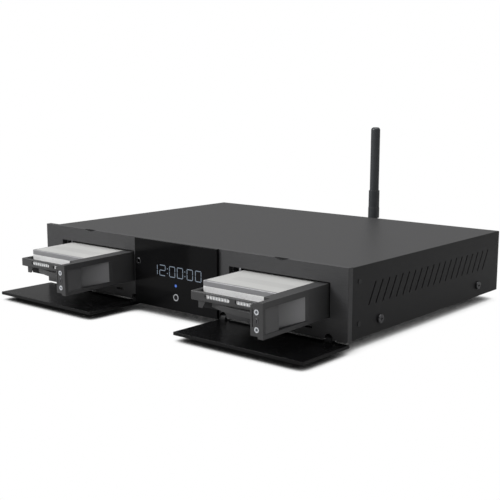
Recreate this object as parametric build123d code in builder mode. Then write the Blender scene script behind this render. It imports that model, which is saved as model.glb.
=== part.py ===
"""A wide media player with two hard drive trays, modelled in millimetres.

The case stands on its feet at z = 0, with +Z up and the front facing -Y.
X = 0 is the middle of the case, and Y = 0 is half way between the front of the
pulled-out trays and the back of the antenna.  The doors are folded flat and the
trays are part way out.  Lengths along Y below are measured from the front face
of the front panel, which stands at y = FRONT.
"""

from build123d import *

import os
from math import atan2, degrees, hypot, radians, sin

# ---------------------------------------------------------------- the case
CASE_D = 315.7  # front face of the panel to the back edge of the cover
PANEL_H = 73.0  # height of the front panel
PANEL_T = 6.5  # thickness of the front panel
FOOT_H = 9.0  # the panel's lower edge above the floor
SHEET_T = 1.2  # steel sheet of the cover, the pan and the rear panel
COVER_INSET = 4.1  # the cover stands in from the panel's ends
COVER_DROP = 2.0  # the cover lies below the panel's top edge
COVER_LIFT = 1.5  # the cover's and pan's lower edge above the panel's
FIT = 0.3  # clearance of a piece that seats in another
BORE_FIT = 0.05  # radial clearance of a pin or shaft in its bore

# ---------------------------------------------------------------- the front
WINDOW_T = 3.2  # the black glass stands this far in front of the panel
BAY_LIFT = 2.7  # the panel's lower edge over each door
CARRIER_LOW, CARRIER_HIGH = 7.0, 64.0  # its edges above the panel's lower edge
CARRIER_T = 8.0
CLOCK_W, CLOCK_H, CLOCK_T, CLOCK_Z = 84.0, 24.0, 6.0, 41.5
CARRIER_W = CLOCK_W + 12.0  # moulding behind the glass
BUTTON_R, BUTTON_Z, BUTTON_TRAVEL = 2.6, 14.3, 0.8
BUTTON_PROUD = 0.5
CONTROL_X = 1.9  # button and status light, right of the middle
RING_R, RING_PROUD = 3.7, 0.2  # lit ring round the power button
LED_R, LED_Z = 1.5, 27.0
JACK_Z, JACK_R, JACK_BORE_R, JACK_DEPTH = 47.2, 3.5, 1.75, 14.0
JACK_BODY, JACK_GAP = 10.0, 2.3  # square body behind the panel, and its gap to the moulding
JACK_X = -(CARRIER_W / 2 + JACK_GAP + JACK_BODY / 2)
WINDOW_EDGE = 5.7  # jack's middle to the end of the glass
WINDOW_W = 2 * (WINDOW_EDGE - JACK_X)
BOARD_T = 1.6
FRONT_BOARD_W, FRONT_BOARD_LOW, FRONT_BOARD_HIGH = CLOCK_W + 4.0, 9.0, 62.0
NOTCH_W, NOTCH_H, NOTCH_DEEP = 17.0, 2.0, 3.5  # finger notch over each door
CATCH_X, CATCH_W, CATCH_H, CATCH_Z = 37.0, 10.4, 1.8, 11.1  # slot of the door catch

# ---------------------------------------------------------------- the doors
DOOR_T = 3.2
DOOR_REACH = 68.0  # the open door's free edge in front of the panel
DOOR_GAP = 0.6  # between a door and the glass
HINGE_Y, HINGE_Z = 2.0, 2.2  # hinge line behind the front face and above the lower edge
DOOR_BACK = 3.9  # the open door's hinge edge behind the front face
KNUCKLE_R, KNUCKLE_W, KNUCKLE_FOOT = 2.6, 6.6, 1.2
HINGE_PIN_R = 0.9
HINGE_NOTCH_W, HINGE_NOTCH_H = 8.8, 8.2
EAR_W, EAR_TOP, EAR_SETBACK, EAR_WEB_T, EAR_GAP = 2.6, 5.0, 1.2, 1.3, 0.4
HINGE_INSET = 4.9, 21.4  # hinges from the door's inner and outer ends

# ---------------------------------------------------------------- the drives
DRIVE_W, DRIVE_L, DRIVE_H = 101.6, 147.0, 26.1
DRIVE_TOP = 54.6  # above the panel's lower edge
DRIVE_FRONT = 55.0  # the drive's front face in front of the panel, as pulled out
DRIVE_COVER_H, LABEL_T, LABEL_INSET = 5.2, 0.2, 2.4
DRIVE_RAIL_W, DRIVE_RECESS = 4.5, 8.0  # side rails of the casting and the hollow between them
DRIVE_BOARD_T = 1.6
DRIVE_CORNER_R = 1.8
PLUG_W, PLUG_L, PLUG_H = 34.0, 6.0, 5.6
PLUG_SHIFT = 20.0  # plug to the left of the drive's middle

# ---------------------------------------------------------------- the bays and trays
DROOP, DROOP_Z = 1.2, 40.0  # racks and trays lean down at the front by this many degrees
SLOT_LOW, SLOT_HIGH = 22.9, 56.9  # above the panel's lower edge
LEFT_WALL_T, LEFT_WALL_H, RIGHT_WALL_T = 4.3, 17.6, 6.0
SLOT_ROOM_LEFT, SLOT_ROOM_RIGHT = 10.6, 2.2  # beside the tray
SLOT_W = SLOT_ROOM_LEFT + LEFT_WALL_T + FIT + DRIVE_W + RIGHT_WALL_T + SLOT_ROOM_RIGHT
SLOT_INNER = {"right": 13.1, "left": 3.7}  # from the door's inner end to the slot
BAY_W = SLOT_W + 33.4
CASE_W = WINDOW_W + 2 * (DOOR_GAP + BAY_W)  # width of the front panel
TRAY_LEFT, TRAY_RIGHT = SLOT_ROOM_LEFT - SLOT_W / 2, SLOT_W / 2 - SLOT_ROOM_RIGHT
TRAY_GAP = 0.3  # tray above the slot's lower edge
TRAY_OUT = 95.2  # front of the lock block in front of the panel, as pulled out
TRAY_BACK = 90.0  # the tray's back edge behind the panel, as pulled out
WALL_TOP, WALL_LIP_T = 55.7, 0.9  # the right side wall's top, with a lip over the drive's edge
TRAY_FLOOR_T, FLOOR_FRONT = 2.5, 20.0  # the floor starts this far in front of the panel
RAIL_W = 6.0  # rails under the drive's long edges
FLOOR_CUT_SIDE, FLOOR_CUT_END = 20.0, 24.0  # the floor's opening from the walls and ends
BLOCK_W, BLOCK_D, BLOCK_STEP = 14.1, 31.8, 2.0  # lock block on the right side wall
CROWN_W, CROWN_DROP, CROWN_D = 9.0, 3.2, 18.5  # the block's sloping front top
SCOOP_START, SCOOP_DIVIDE, SCOOP_END = 91.6, 72.6, 31.0  # finger scoop, in front of the panel
SCOOP_LOW, SCOOP_HIGH, SCOOP_DEEP, SCOOP_FLAT = 27.0, 50.0, 4.3, 0.8
BAR_LOW, BAR_HIGH, BAR_T = 37.2, 46.0, 3.0  # cross bar in front of the drive
VENT_L, VENT_H, VENT_Z = 30.9, 4.1, 42.3
VENT_X = (-18.8, 18.9)  # middles of the bar's two vents
TAB_LEFT, TAB_RIGHT, TAB_FOOT, TAB_LOW = -44.0, -34.5, 5.0, 30.3  # tab under the bar's left end
LEVER_LOW, LEVER_HIGH, LEVER_T = 31.4, 36.8, 4.0
LEVER_X, LEVER_Y, LEVER_BULGE = -30.0, 58.0, 5.0  # free end, and the bow of the arm
PIVOT_X, PIVOT_Y, PIVOT_EYE_R, PIVOT_R, PIN_SEAT = 49.4, 68.0, 3.0, 1.2, 3.0
POCKET_ROOM, POCKET_FRONT = 0.9, 11.0  # round the lever's eye, and in front of it
SLIT_X, SLIT_W, SLIT_DEEP, SLIT_LOW, SLIT_HIGH = 48.5, 0.9, 2.0, 33.0, 49.4
LOCK_X, LOCK_Z, LOCK_R, LOCK_L, LOCK_PROUD = 53.2, 38.8, 2.5, 7.5, 0.4
KEYWAY_W, KEYWAY_H, KEYWAY_DEEP = 0.8, 3.4, 5.0
LIGHT_Z, LIGHT_R, LIGHT_BORE_R, LIGHT_L, LIGHT_PROUD = (31.1, 46.8), 2.5, 1.5, 3.0, 0.2
TRAY_TRAVEL = 96.0  # from the pulled-out place to fully home

# ---------------------------------------------------------------- the racks
CAGE_T, CAGE_SIDE_ROOM, CAGE_FRONT, PLUG_REACH = 1.0, 0.2, 0.8, 7.0
SPRING_W, SPRING_H, SPRING_GAP = 2.4, 6.0, 0.9  # spring finger beside the tray
GUIDE_GAP = 0.6
ISOLATOR_R, ISOLATOR_NECK_R, ISOLATOR_H, ISOLATOR_X, ISOLATOR_Y = 8.0, 5.0, 7.0, 45.0, (32.0, 165.0)
BACKPLANE_T, PLUG_GAP = 1.6, 0.5

# ---------------------------------------------------------------- inside and behind
STANDOFF_R, STANDOFF_H = 3.0, 8.0
BOARD_BACK_GAP = 1.4  # circuit boards in front of the rear panel
MAIN_W, MAIN_D, MAIN_GAP = 205.0, 96.0, 31.5  # main board, and its gap to the power supply
SUPPLY_W, SUPPLY_D, SUPPLY_SIDE = 100.0, 96.0, 12.4  # power supply, and its gap to the side
TRANSFORMER_W, TRANSFORMER_D, TRANSFORMER_H, TRANSFORMER_SHIFT = 30.0, 28.0, 26.0, 9.0
BULK_R, BULK_H, BULK_SHIFT = 9.0, 30.0, 28.0  # large capacitor, left of the board's middle
SMALL_R, SMALL_H, SMALL_SHIFT, SMALL_PITCH, SMALL_EDGE = 5.0, 20.0, 36.0, 16.0, 14.0
SPREADER_T, SPREADER_L, SPREADER_H, SPREADER_EDGE = 4.0, 50.0, 28.0, 12.0
SINK_W, SINK_D, SINK_H, SINK_FINS, FIN_T = 54.0, 46.0, 22.0, 9, 1.8
SOCKET_PROUD = 1.0  # sockets stand out of the rear panel
ANTENNA_Z = 61.5
ANTENNA_OUT = 11.8  # antenna's middle behind the cover's back edge
WHIP_R, SLEEVE_R, COLLAR_R = 5.8, 6.9, 7.2
COLLAR_TOP, SLEEVE_TOP, WHIP_TOP = 83.0, 105.0, 186.0  # above the panel's lower edge
FORK_GAP, TONGUE_T = 5.6, 5.2
FOOT_SIDE, FOOT_FRONT, FOOT_BACK = 60.0, 52.0, 47.7  # feet from the case's edges
FOOT_R, PAD_H, PAD_R = 18.0, 1.5, 15.0

# ---------------------------------------------------------------- controls and sockets
RING_DEEP = 3.0  # the lit ring reaches this far into the moulding
BUTTON_ROOM = 0.35  # round the power button
BUTTON_TAIL = 1.2  # the button reaches this far behind the moulding
BOARD_ROOM = 4.0  # front board behind the moulding
PEG_X, PEG_Z, PEG_R = FRONT_BOARD_W / 2 - 4.0, (12.0, 58.5), 2.5  # moulded pegs that carry the front board
BRACKET_W = 12.0
CHIP_H = 2.4
SWITCH_Z, SWITCH_W, SWITCH_H, SWITCH_WALL, ROCKER_DEEP = 37.0, 15.0, 21.0, 1.2, 2.2
AUDIO_R, AUDIO_BORE_R, AUDIO_L, AUDIO_Z = 4.15, 1.6, 9.0, 22.0
THREAD_R, THREAD_L, NUT_R, NUT_T = 3.1, 4.0, 4.7, 3.0
GRILLE_SIDE, GRILLE_Z, GRILLE_H, GRILLE_W, GRILLE_PITCH, GRILLE_SLOTS = 51.4, 40.0, 30.0, 3.0, 7.0, 12

# ---------------------------------------------------------------- side vents and screws
VENTS, VENT_PITCH, VENT_FIRST_Y = 20, 12.41, 46.4
VENT_RUN, VENT_RISE, VENT_SLOT_W, VENT_MID_Z = 12.4, 22.1, 1.8, 41.8
SMALL_SCREW_Y, SMALL_SCREW_Z, SMALL_SCREW_R = 24.0, (15.7, 56.4), 1.5
LARGE_SCREW_Y, LARGE_SCREW_Z, LARGE_SCREW_R = (60.6, CASE_D - 50.5), 14.3, 2.0
LARGE_HEAD_R, LARGE_HEAD_H = 4.6, 2.4
CROSS_T, CROSS_L, CROSS_DEEP = 0.9, 4.4, 1.3  # recess in a large head
FLANGE_H = 20.0  # upturned sides of the pan
BRACKET_D, BRACKET_T = 26.0, 3.0

# ---------------------------------------------------------------- worked-out places
ANTENNA_Y = CASE_D + ANTENNA_OUT
REAR_REACH = ANTENNA_Y + COLLAR_R
FRONT_REACH = TRAY_OUT + LOCK_PROUD
FRONT = (FRONT_REACH - REAR_REACH) / 2  # y of the panel's front face
BASE = FOOT_H  # z of the panel's lower edge
COVER_X = CASE_W / 2 - COVER_INSET
COVER_TOP = PANEL_H - COVER_DROP
INSIDE_X = COVER_X - SHEET_T
PAN_X = INSIDE_X - FIT
PAN_TOP = COVER_LIFT + SHEET_T
REAR_OUT = CASE_D - 0.6  # outer face of the rear panel
REAR_IN = REAR_OUT - SHEET_T
BOARD_Z = PAN_TOP + STANDOFF_H
TRAY_LOW = SLOT_LOW + TRAY_GAP
BLOCK_LEFT = TRAY_RIGHT - BLOCK_W
DRIVE_RIGHT = TRAY_RIGHT - RIGHT_WALL_T
DRIVE_LEFT = DRIVE_RIGHT - DRIVE_W
DRIVE_BOTTOM = DRIVE_TOP - DRIVE_H
DOOR_INNER = WINDOW_W / 2 + DOOR_GAP  # the doors' inner ends
BAY_X = {
    "right": DOOR_INNER + SLOT_INNER["right"] + SLOT_W / 2,
    "left": -(DOOR_INNER + SLOT_INNER["left"] + SLOT_W / 2),
}
HINGE_NEAR, HINGE_FAR = DOOR_INNER + HINGE_INSET[0], CASE_W / 2 - HINGE_INSET[1]
HINGE_X = {"right": (HINGE_NEAR, HINGE_FAR), "left": (-HINGE_FAR, -HINGE_NEAR)}
FOOT_X, FOOT_Y = CASE_W / 2 - FOOT_SIDE, (FOOT_FRONT, CASE_D - FOOT_BACK)
SUPPLY_X = SUPPLY_SIDE + SUPPLY_W / 2 - PAN_X
MAIN_X = SUPPLY_X + SUPPLY_W / 2 + MAIN_GAP + MAIN_W / 2
SINK_X = MAIN_X - 7.0
SWITCH_X = SUPPLY_X + 6.0
AUDIO_X = (MAIN_X + 54.0, MAIN_X + 70.0, MAIN_X + 86.0)
ANTENNA_X = MAIN_X + 3.5
GRILLE_X = PAN_X - GRILLE_SIDE
BUTTON_BACK = CARRIER_T + BUTTON_TAIL
BOARD_TOP = BOARD_Z + BOARD_T
BOARD_BACK = REAR_IN - SHEET_T - BOARD_BACK_GAP
PLUG_MOUTH = DRIVE_L - DRIVE_FRONT + TRAY_TRAVEL + PLUG_GAP  # where the drive's plug ends
CAGE_BACK = PLUG_MOUTH + PLUG_REACH
BAR_FRONT = -TRAY_OUT + BLOCK_D - BAR_T
SIDES = ("left", "right")
SOCKETS = (
    {"name": "power_inlet", "x": SUPPLY_X - 28.0, "z": 27.0, "w": 27.4, "h": 20.0, "depth": 22.0,
     "wall": 1.6,
     "flange": 2.0, "setback": 1.5, "pins": ((-7, -2, 2, 4), (7, -2, 2, 4), (0, 3.4, 2, 4))},
    {"name": "switch_frame", "x": SWITCH_X, "z": SWITCH_Z - SWITCH_H / 2, "w": SWITCH_W, "h": SWITCH_H,
     "depth": 14.0, "wall": SWITCH_WALL, "flange": 1.5, "setback": 0.0, "pins": ()},
    {"name": "video_socket", "x": MAIN_X - 80.0, "z": BOARD_TOP, "w": 16.0, "h": 6.8, "depth": 14.0,
     "wall": 0.6,
     "flange": 0.0, "setback": 3.0, "pins": ((0, 0, 10.0, 1.4),)},
    {"name": "network_socket", "x": MAIN_X - 52.0, "z": BOARD_TOP, "w": 16.0, "h": 13.6, "depth": 18.0,
     "wall": 1.6,
     "flange": 0.0, "setback": 3.0, "pins": ()},
    {"name": "data_socket", "x": MAIN_X - 24.0, "z": BOARD_TOP, "w": 14.4, "h": 7.0, "depth": 16.0,
     "wall": 0.6,
     "flange": 0.0, "setback": 1.0, "pins": ((0, 1.2, 11.0, 1.6),)},
)


def brick(x0, x1, y0, y1, z0, z1, mode=Mode.ADD):
    """A block between two corners, in the part that is open: y from the front face, z from BASE."""
    with Locations(((x0 + x1) / 2, FRONT + (y0 + y1) / 2, BASE + (z0 + z1) / 2)):
        return Box(x1 - x0, y1 - y0, z1 - z0, mode=mode)


def rod(x, y0, y1, z, radius, mode=Mode.ADD):
    """A round bar along Y."""
    with Locations(Location((x, FRONT + (y0 + y1) / 2, BASE + z), (90, 0, 0))):
        return Cylinder(radius, y1 - y0, mode=mode)


def post(x, y, z0, z1, radius, mode=Mode.ADD):
    """A round bar along Z."""
    with Locations((x, FRONT + y, BASE + (z0 + z1) / 2)):
        return Cylinder(radius, z1 - z0, mode=mode)


def axle(x0, x1, y, z, radius, mode=Mode.ADD):
    """A round bar along X."""
    with Locations(Location(((x0 + x1) / 2, FRONT + y, BASE + z), (0, 90, 0))):
        return Cylinder(radius, x1 - x0, mode=mode)


def keep(builder, name):
    """Label a finished piece and write it."""
    builder.part.label = name
    export_step(builder.part, f"parts/{name}.step")


def lean(part):
    """Turn a piece of a rack or tray down at the front, as it hangs in its soft mounts."""
    return part.rotate(Axis((0, FRONT, BASE + DROOP_Z), (1, 0, 0)), DROOP)


def keep_leaning(builder, name):
    """Label a finished piece of a rack or tray and write it, leaning as it hangs."""
    part = lean(builder.part)
    part.label = name
    export_step(part, f"parts/{name}.step")


def bay_span(side):
    """The two ends along X of a door and of the panel above it."""
    return (DOOR_INNER, CASE_W / 2) if side == "right" else (-CASE_W / 2, -DOOR_INNER)


# ================================================================ case
def make_base_pan():
    """Folded steel pan with upturned sides and back, and the board standoffs."""
    with BuildPart() as pan:
        brick(-PAN_X, PAN_X, PANEL_T, REAR_IN, COVER_LIFT, PAN_TOP)
        for side in (-1, 1):
            x = sorted((side * PAN_X, side * (PAN_X - SHEET_T)))
            brick(*x, PANEL_T, REAR_IN, COVER_LIFT, COVER_LIFT + FLANGE_H)
        brick(-PAN_X, PAN_X, REAR_IN - SHEET_T, REAR_IN, COVER_LIFT, COVER_LIFT + FLANGE_H / 2)
        for middle, wide, deep in ((MAIN_X, MAIN_W, MAIN_D), (SUPPLY_X, SUPPLY_W, SUPPLY_D)):
            for x in (middle - wide / 2 + 6, middle + wide / 2 - 6):
                for y in (BOARD_BACK - deep + 6, BOARD_BACK - 6):
                    post(x, y, PAN_TOP, BOARD_Z, STANDOFF_R)
        for side in (-1, 1):
            for y in LARGE_SCREW_Y:
                ends = sorted((side * (PAN_X - 2 * SHEET_T), side * (PAN_X + 1)))
                axle(*ends, y, LARGE_SCREW_Z, LARGE_SCREW_R + BORE_FIT, mode=Mode.SUBTRACT)
            axle(*ends, SMALL_SCREW_Y, SMALL_SCREW_Z[0], SMALL_SCREW_R + BORE_FIT, mode=Mode.SUBTRACT)
        for x in (-FOOT_X, FOOT_X):
            for y in FOOT_Y:
                post(x, y, COVER_LIFT - 1, PAN_TOP + 1, LARGE_SCREW_R + BORE_FIT, mode=Mode.SUBTRACT)
    keep(pan, "base_pan")


def make_top_cover():
    """Folded steel cover: the top and both sides, with slanted vents in each side."""
    with BuildPart() as cover:
        brick(-COVER_X, COVER_X, PANEL_T, CASE_D, COVER_LIFT, COVER_TOP)
        edges = cover.edges().filter_by(Axis.Y).group_by(Axis.Z)[-1]
        fillet(edges, SHEET_T * 0.8)
        brick(-INSIDE_X, INSIDE_X, PANEL_T - 1, CASE_D + 1, COVER_LIFT - 1, COVER_TOP - SHEET_T,
              Mode.SUBTRACT)
        lean = degrees(atan2(VENT_RISE, VENT_RUN))
        with BuildSketch(Plane.YZ):
            spots = [
                (FRONT + VENT_FIRST_Y + i * VENT_PITCH, BASE + VENT_MID_Z) for i in range(VENTS)
            ]
            with Locations(*spots):
                SlotOverall(hypot(VENT_RUN, VENT_RISE), VENT_SLOT_W, rotation=lean)
        extrude(amount=CASE_W, both=True, mode=Mode.SUBTRACT)
        for side in (-1, 1):
            ends = sorted((side * (INSIDE_X - 1), side * (COVER_X + 1)))
            for z in SMALL_SCREW_Z:
                axle(*ends, SMALL_SCREW_Y, z, SMALL_SCREW_R + BORE_FIT, mode=Mode.SUBTRACT)
            for y in LARGE_SCREW_Y:
                axle(*ends, y, LARGE_SCREW_Z, LARGE_SCREW_R + BORE_FIT, mode=Mode.SUBTRACT)
    keep(cover, "top_cover")


def make_front_panel():
    """Thick front plate with two slots, the middle opening, finger notches and hinge notches."""
    with BuildPart() as panel:
        brick(-CASE_W / 2, CASE_W / 2, 0, PANEL_T, 0, PANEL_H)
        fillet(panel.edges().filter_by(Axis.Z).group_by(Axis.Y)[0], 0.6)
        half = CARRIER_W / 2
        brick(-half, half, -1, PANEL_T + 1, CARRIER_LOW, CARRIER_HIGH, Mode.SUBTRACT)
        rod(JACK_X, -1, PANEL_T + 1, JACK_Z, JACK_R + BORE_FIT, mode=Mode.SUBTRACT)
        for side in SIDES:
            low, high = bay_span(side)
            middle = BAY_X[side]
            brick(low, high, -1, PANEL_T + 1, -1, BAY_LIFT, Mode.SUBTRACT)
            brick(middle - SLOT_W / 2, middle + SLOT_W / 2, -1, PANEL_T + 1, SLOT_LOW, SLOT_HIGH,
                  Mode.SUBTRACT)
            arc_r = NOTCH_W**2 / (8 * NOTCH_H) + NOTCH_H / 2
            rod((low + high) / 2, -1, NOTCH_DEEP, PANEL_H - NOTCH_H + arc_r, arc_r, mode=Mode.SUBTRACT)
            catch = middle + CATCH_X
            brick(catch - CATCH_W / 2, catch + CATCH_W / 2, -1, PANEL_T - 1, CATCH_Z - CATCH_H / 2,
                  CATCH_Z + CATCH_H / 2, Mode.SUBTRACT)
            for x in HINGE_X[side]:
                notch = HINGE_NOTCH_W / 2
                brick(x - notch, x + notch, -1, PANEL_T + 1, -1, HINGE_NOTCH_H - notch, Mode.SUBTRACT)
                rod(x, -1, PANEL_T + 1, HINGE_NOTCH_H - notch, notch, mode=Mode.SUBTRACT)
                ear = notch + EAR_W + FIT
                brick(x - ear, x + ear, EAR_SETBACK - FIT, PANEL_T + 1, -1, EAR_TOP, Mode.SUBTRACT)
    keep(panel, "front_panel")


def make_rear_panel():
    """Steel plate across the back, cut out for the sockets."""
    with BuildPart() as plate:
        brick(-PAN_X, PAN_X, REAR_IN, REAR_OUT, PAN_TOP, COVER_TOP - SHEET_T - FIT)
        for socket in SOCKETS:
            x, wide, tall, low = socket["x"], socket["w"] + 2 * FIT, socket["h"] + 2 * FIT, socket["z"]
            brick(x - wide / 2, x + wide / 2, REAR_IN - 1, REAR_OUT + 1, low - FIT, low - FIT + tall,
                  Mode.SUBTRACT)
        for x in AUDIO_X:
            rod(x, REAR_IN - 1, REAR_OUT + 1, AUDIO_Z, AUDIO_R + FIT, mode=Mode.SUBTRACT)
        rod(ANTENNA_X, REAR_IN - 1, REAR_OUT + 1, ANTENNA_Z, THREAD_R + BORE_FIT, mode=Mode.SUBTRACT)
        with BuildSketch(Plane.XZ.offset(-FRONT)):
            with Locations((GRILLE_X, BASE + GRILLE_Z)):
                with GridLocations(GRILLE_PITCH, 1, GRILLE_SLOTS, 1):
                    SlotOverall(GRILLE_H, GRILLE_W, rotation=90)
        extrude(amount=-CASE_D - 5, mode=Mode.SUBTRACT)
    keep(plate, "rear_panel")


def make_front_brackets():
    """Two angle brackets that join the front panel to the pan and the cover."""
    with BuildPart() as brackets:
        outer = PAN_X - SHEET_T
        for side in (-1, 1):
            x = sorted((side * outer, side * (outer - BRACKET_T)))
            brick(*x, PANEL_T, PANEL_T + BRACKET_D, PAN_TOP, COVER_TOP - 6)
            leaf = sorted((side * outer, side * (outer - BRACKET_W)))
            brick(*leaf, PANEL_T, PANEL_T + BRACKET_T, PAN_TOP + 10, COVER_TOP - 6)
            ends = sorted((side * (outer - BRACKET_T - 1), side * (outer + 1)))
            for z in SMALL_SCREW_Z:
                axle(*ends, SMALL_SCREW_Y, z, SMALL_SCREW_R + BORE_FIT, mode=Mode.SUBTRACT)
    keep(brackets, "front_brackets")


def make_screws():
    """Countersunk screws near the front of each side, and large domed ones along its foot."""
    with BuildPart() as small:
        for side in (-1, 1):
            for z in SMALL_SCREW_Z:
                tip = side * (PAN_X - SHEET_T - BRACKET_T - 1)
                axle(*sorted((tip, side * COVER_X)), SMALL_SCREW_Y, z, SMALL_SCREW_R)
                axle(*sorted((side * COVER_X, side * (COVER_X + 0.5))), SMALL_SCREW_Y, z, SMALL_SCREW_R + 1)
    keep(small, "cover_screws")
    with BuildPart() as large:
        for side in (-1, 1):
            for y in LARGE_SCREW_Y:
                tip = side * (PAN_X - SHEET_T - 5)
                axle(*sorted((tip, side * COVER_X)), y, LARGE_SCREW_Z, LARGE_SCREW_R)
                axle(*sorted((side * COVER_X, side * (COVER_X + LARGE_HEAD_H))), y, LARGE_SCREW_Z,
                     LARGE_HEAD_R)
        heads = large.faces().filter_by(GeomType.PLANE).filter_by(Axis.X)
        for group in (heads.sort_by(Axis.X)[:2], heads.sort_by(Axis.X)[-2:]):
            fillet(group.edges(), LARGE_HEAD_H * 0.4)
        top = COVER_X + LARGE_HEAD_H
        for side in (-1, 1):
            ends = sorted((side * (top - CROSS_DEEP), side * (top + 1)))
            for y in LARGE_SCREW_Y:
                for deep, tall in ((CROSS_T, CROSS_L), (CROSS_L, CROSS_T)):
                    brick(*ends, y - deep / 2, y + deep / 2, LARGE_SCREW_Z - tall / 2,
                          LARGE_SCREW_Z + tall / 2,
                          Mode.SUBTRACT)
    keep(large, "side_screws")


def make_feet():
    """Four round feet with rubber pads."""
    with BuildPart() as feet:
        for x in (-FOOT_X, FOOT_X):
            for y in FOOT_Y:
                post(x, y, PAD_H - BASE, COVER_LIFT, FOOT_R)
                post(x, y, COVER_LIFT, PAN_TOP + 2, LARGE_SCREW_R)
        rims = feet.edges().filter_by(GeomType.CIRCLE).group_by(Axis.Z)[0]
        chamfer(rims, 1.5)
    keep(feet, "feet")
    with BuildPart() as pads:
        for x in (-FOOT_X, FOOT_X):
            for y in FOOT_Y:
                post(x, y, -BASE, PAD_H - BASE, PAD_R)
    keep(pads, "foot_pads")


# ================================================================ front controls
def make_display():
    """The black glass, its moulding, the clock module and the board behind."""
    with BuildPart() as window:
        brick(-WINDOW_W / 2, WINDOW_W / 2, -WINDOW_T, 0, 0, PANEL_H)
        rod(CONTROL_X, -WINDOW_T - 1, 1, BUTTON_Z, RING_R + BORE_FIT, mode=Mode.SUBTRACT)
        rod(CONTROL_X, -WINDOW_T - 1, 1, LED_Z, LED_R + BORE_FIT, mode=Mode.SUBTRACT)
        rod(JACK_X, -WINDOW_T - 1, 1, JACK_Z, JACK_R + BORE_FIT, mode=Mode.SUBTRACT)
        fillet(window.faces().sort_by(Axis.Y)[0].outer_wire().edges(), 0.35)
    keep(window, "display_window")
    with BuildPart() as carrier:
        half = CARRIER_W / 2 - FIT
        brick(-half, half, 0, CARRIER_T, CARRIER_LOW + FIT, CARRIER_HIGH - FIT)
        for x in (-PEG_X, PEG_X):
            for z in PEG_Z:
                rod(x, CARRIER_T, CARRIER_T + BOARD_ROOM, z, PEG_R)
        low, high = CLOCK_Z - CLOCK_H / 2 - FIT, CLOCK_Z + CLOCK_H / 2 + FIT
        brick(-CLOCK_W / 2 - FIT, CLOCK_W / 2 + FIT, -1, CARRIER_T + 1, low, high, Mode.SUBTRACT)
        rod(CONTROL_X, -1, RING_DEEP + BORE_FIT, BUTTON_Z, RING_R + BORE_FIT, mode=Mode.SUBTRACT)
        rod(CONTROL_X, -1, CARRIER_T + 1, BUTTON_Z, BUTTON_R + BUTTON_ROOM, mode=Mode.SUBTRACT)
        rod(CONTROL_X, -1, CARRIER_T + 1, LED_Z, LED_R + BORE_FIT, mode=Mode.SUBTRACT)
    keep(carrier, "display_carrier")
    with BuildPart() as clock:
        brick(-CLOCK_W / 2, CLOCK_W / 2, FIT, FIT + CLOCK_T, CLOCK_Z - CLOCK_H / 2, CLOCK_Z + CLOCK_H / 2)
        for x in (-CLOCK_W / 2 + 3, CLOCK_W / 2 - 3):
            brick(x - 1.5, x + 1.5, FIT + CLOCK_T, CARRIER_T + BOARD_ROOM, CLOCK_Z - 8, CLOCK_Z + 8)
    keep(clock, "clock_display")
    with BuildPart() as board:
        y = CARRIER_T + BOARD_ROOM
        brick(-FRONT_BOARD_W / 2, FRONT_BOARD_W / 2, y, y + BOARD_T, FRONT_BOARD_LOW, FRONT_BOARD_HIGH)
        gap = BUTTON_TRAVEL + BORE_FIT
        rod(CONTROL_X, BUTTON_BACK + gap, y, BUTTON_Z, BUTTON_R * 0.7)
        brick(-20, 20, y + BOARD_T, y + BOARD_T + 4, FRONT_BOARD_LOW + 6, FRONT_BOARD_LOW + 11)
    keep(board, "display_board")


def make_controls():
    """Power button with its lit ring, the status light and the headphone jack."""
    with BuildPart() as ring:
        rod(CONTROL_X, -WINDOW_T - RING_PROUD, RING_DEEP, BUTTON_Z, RING_R)
        rod(CONTROL_X, -WINDOW_T - 1, RING_DEEP + 1, BUTTON_Z, BUTTON_R + BUTTON_ROOM, mode=Mode.SUBTRACT)
    keep(ring, "power_ring")
    with BuildPart() as button:
        rod(CONTROL_X, -WINDOW_T - BUTTON_PROUD, BUTTON_BACK, BUTTON_Z, BUTTON_R)
        front = button.faces().sort_by(Axis.Y)[0]
        fillet(front.edges(), 0.3)
    keep(button, "power_button")
    with BuildPart() as led:
        rod(CONTROL_X, -WINDOW_T - RING_PROUD, CARRIER_T, LED_Z, LED_R)
        fillet(led.faces().sort_by(Axis.Y)[0].edges(), 0.15)
    keep(led, "status_light")
    with BuildPart() as jack:
        rod(JACK_X, -WINDOW_T, PANEL_T, JACK_Z, JACK_R)
        half = JACK_BODY / 2
        brick(JACK_X - half, JACK_X + half, PANEL_T, JACK_DEPTH - WINDOW_T + 2, JACK_Z - half, JACK_Z + half)
        rod(JACK_X, -WINDOW_T - 1, JACK_DEPTH - WINDOW_T, JACK_Z, JACK_BORE_R, mode=Mode.SUBTRACT)
    keep(jack, "headphone_jack")


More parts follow.
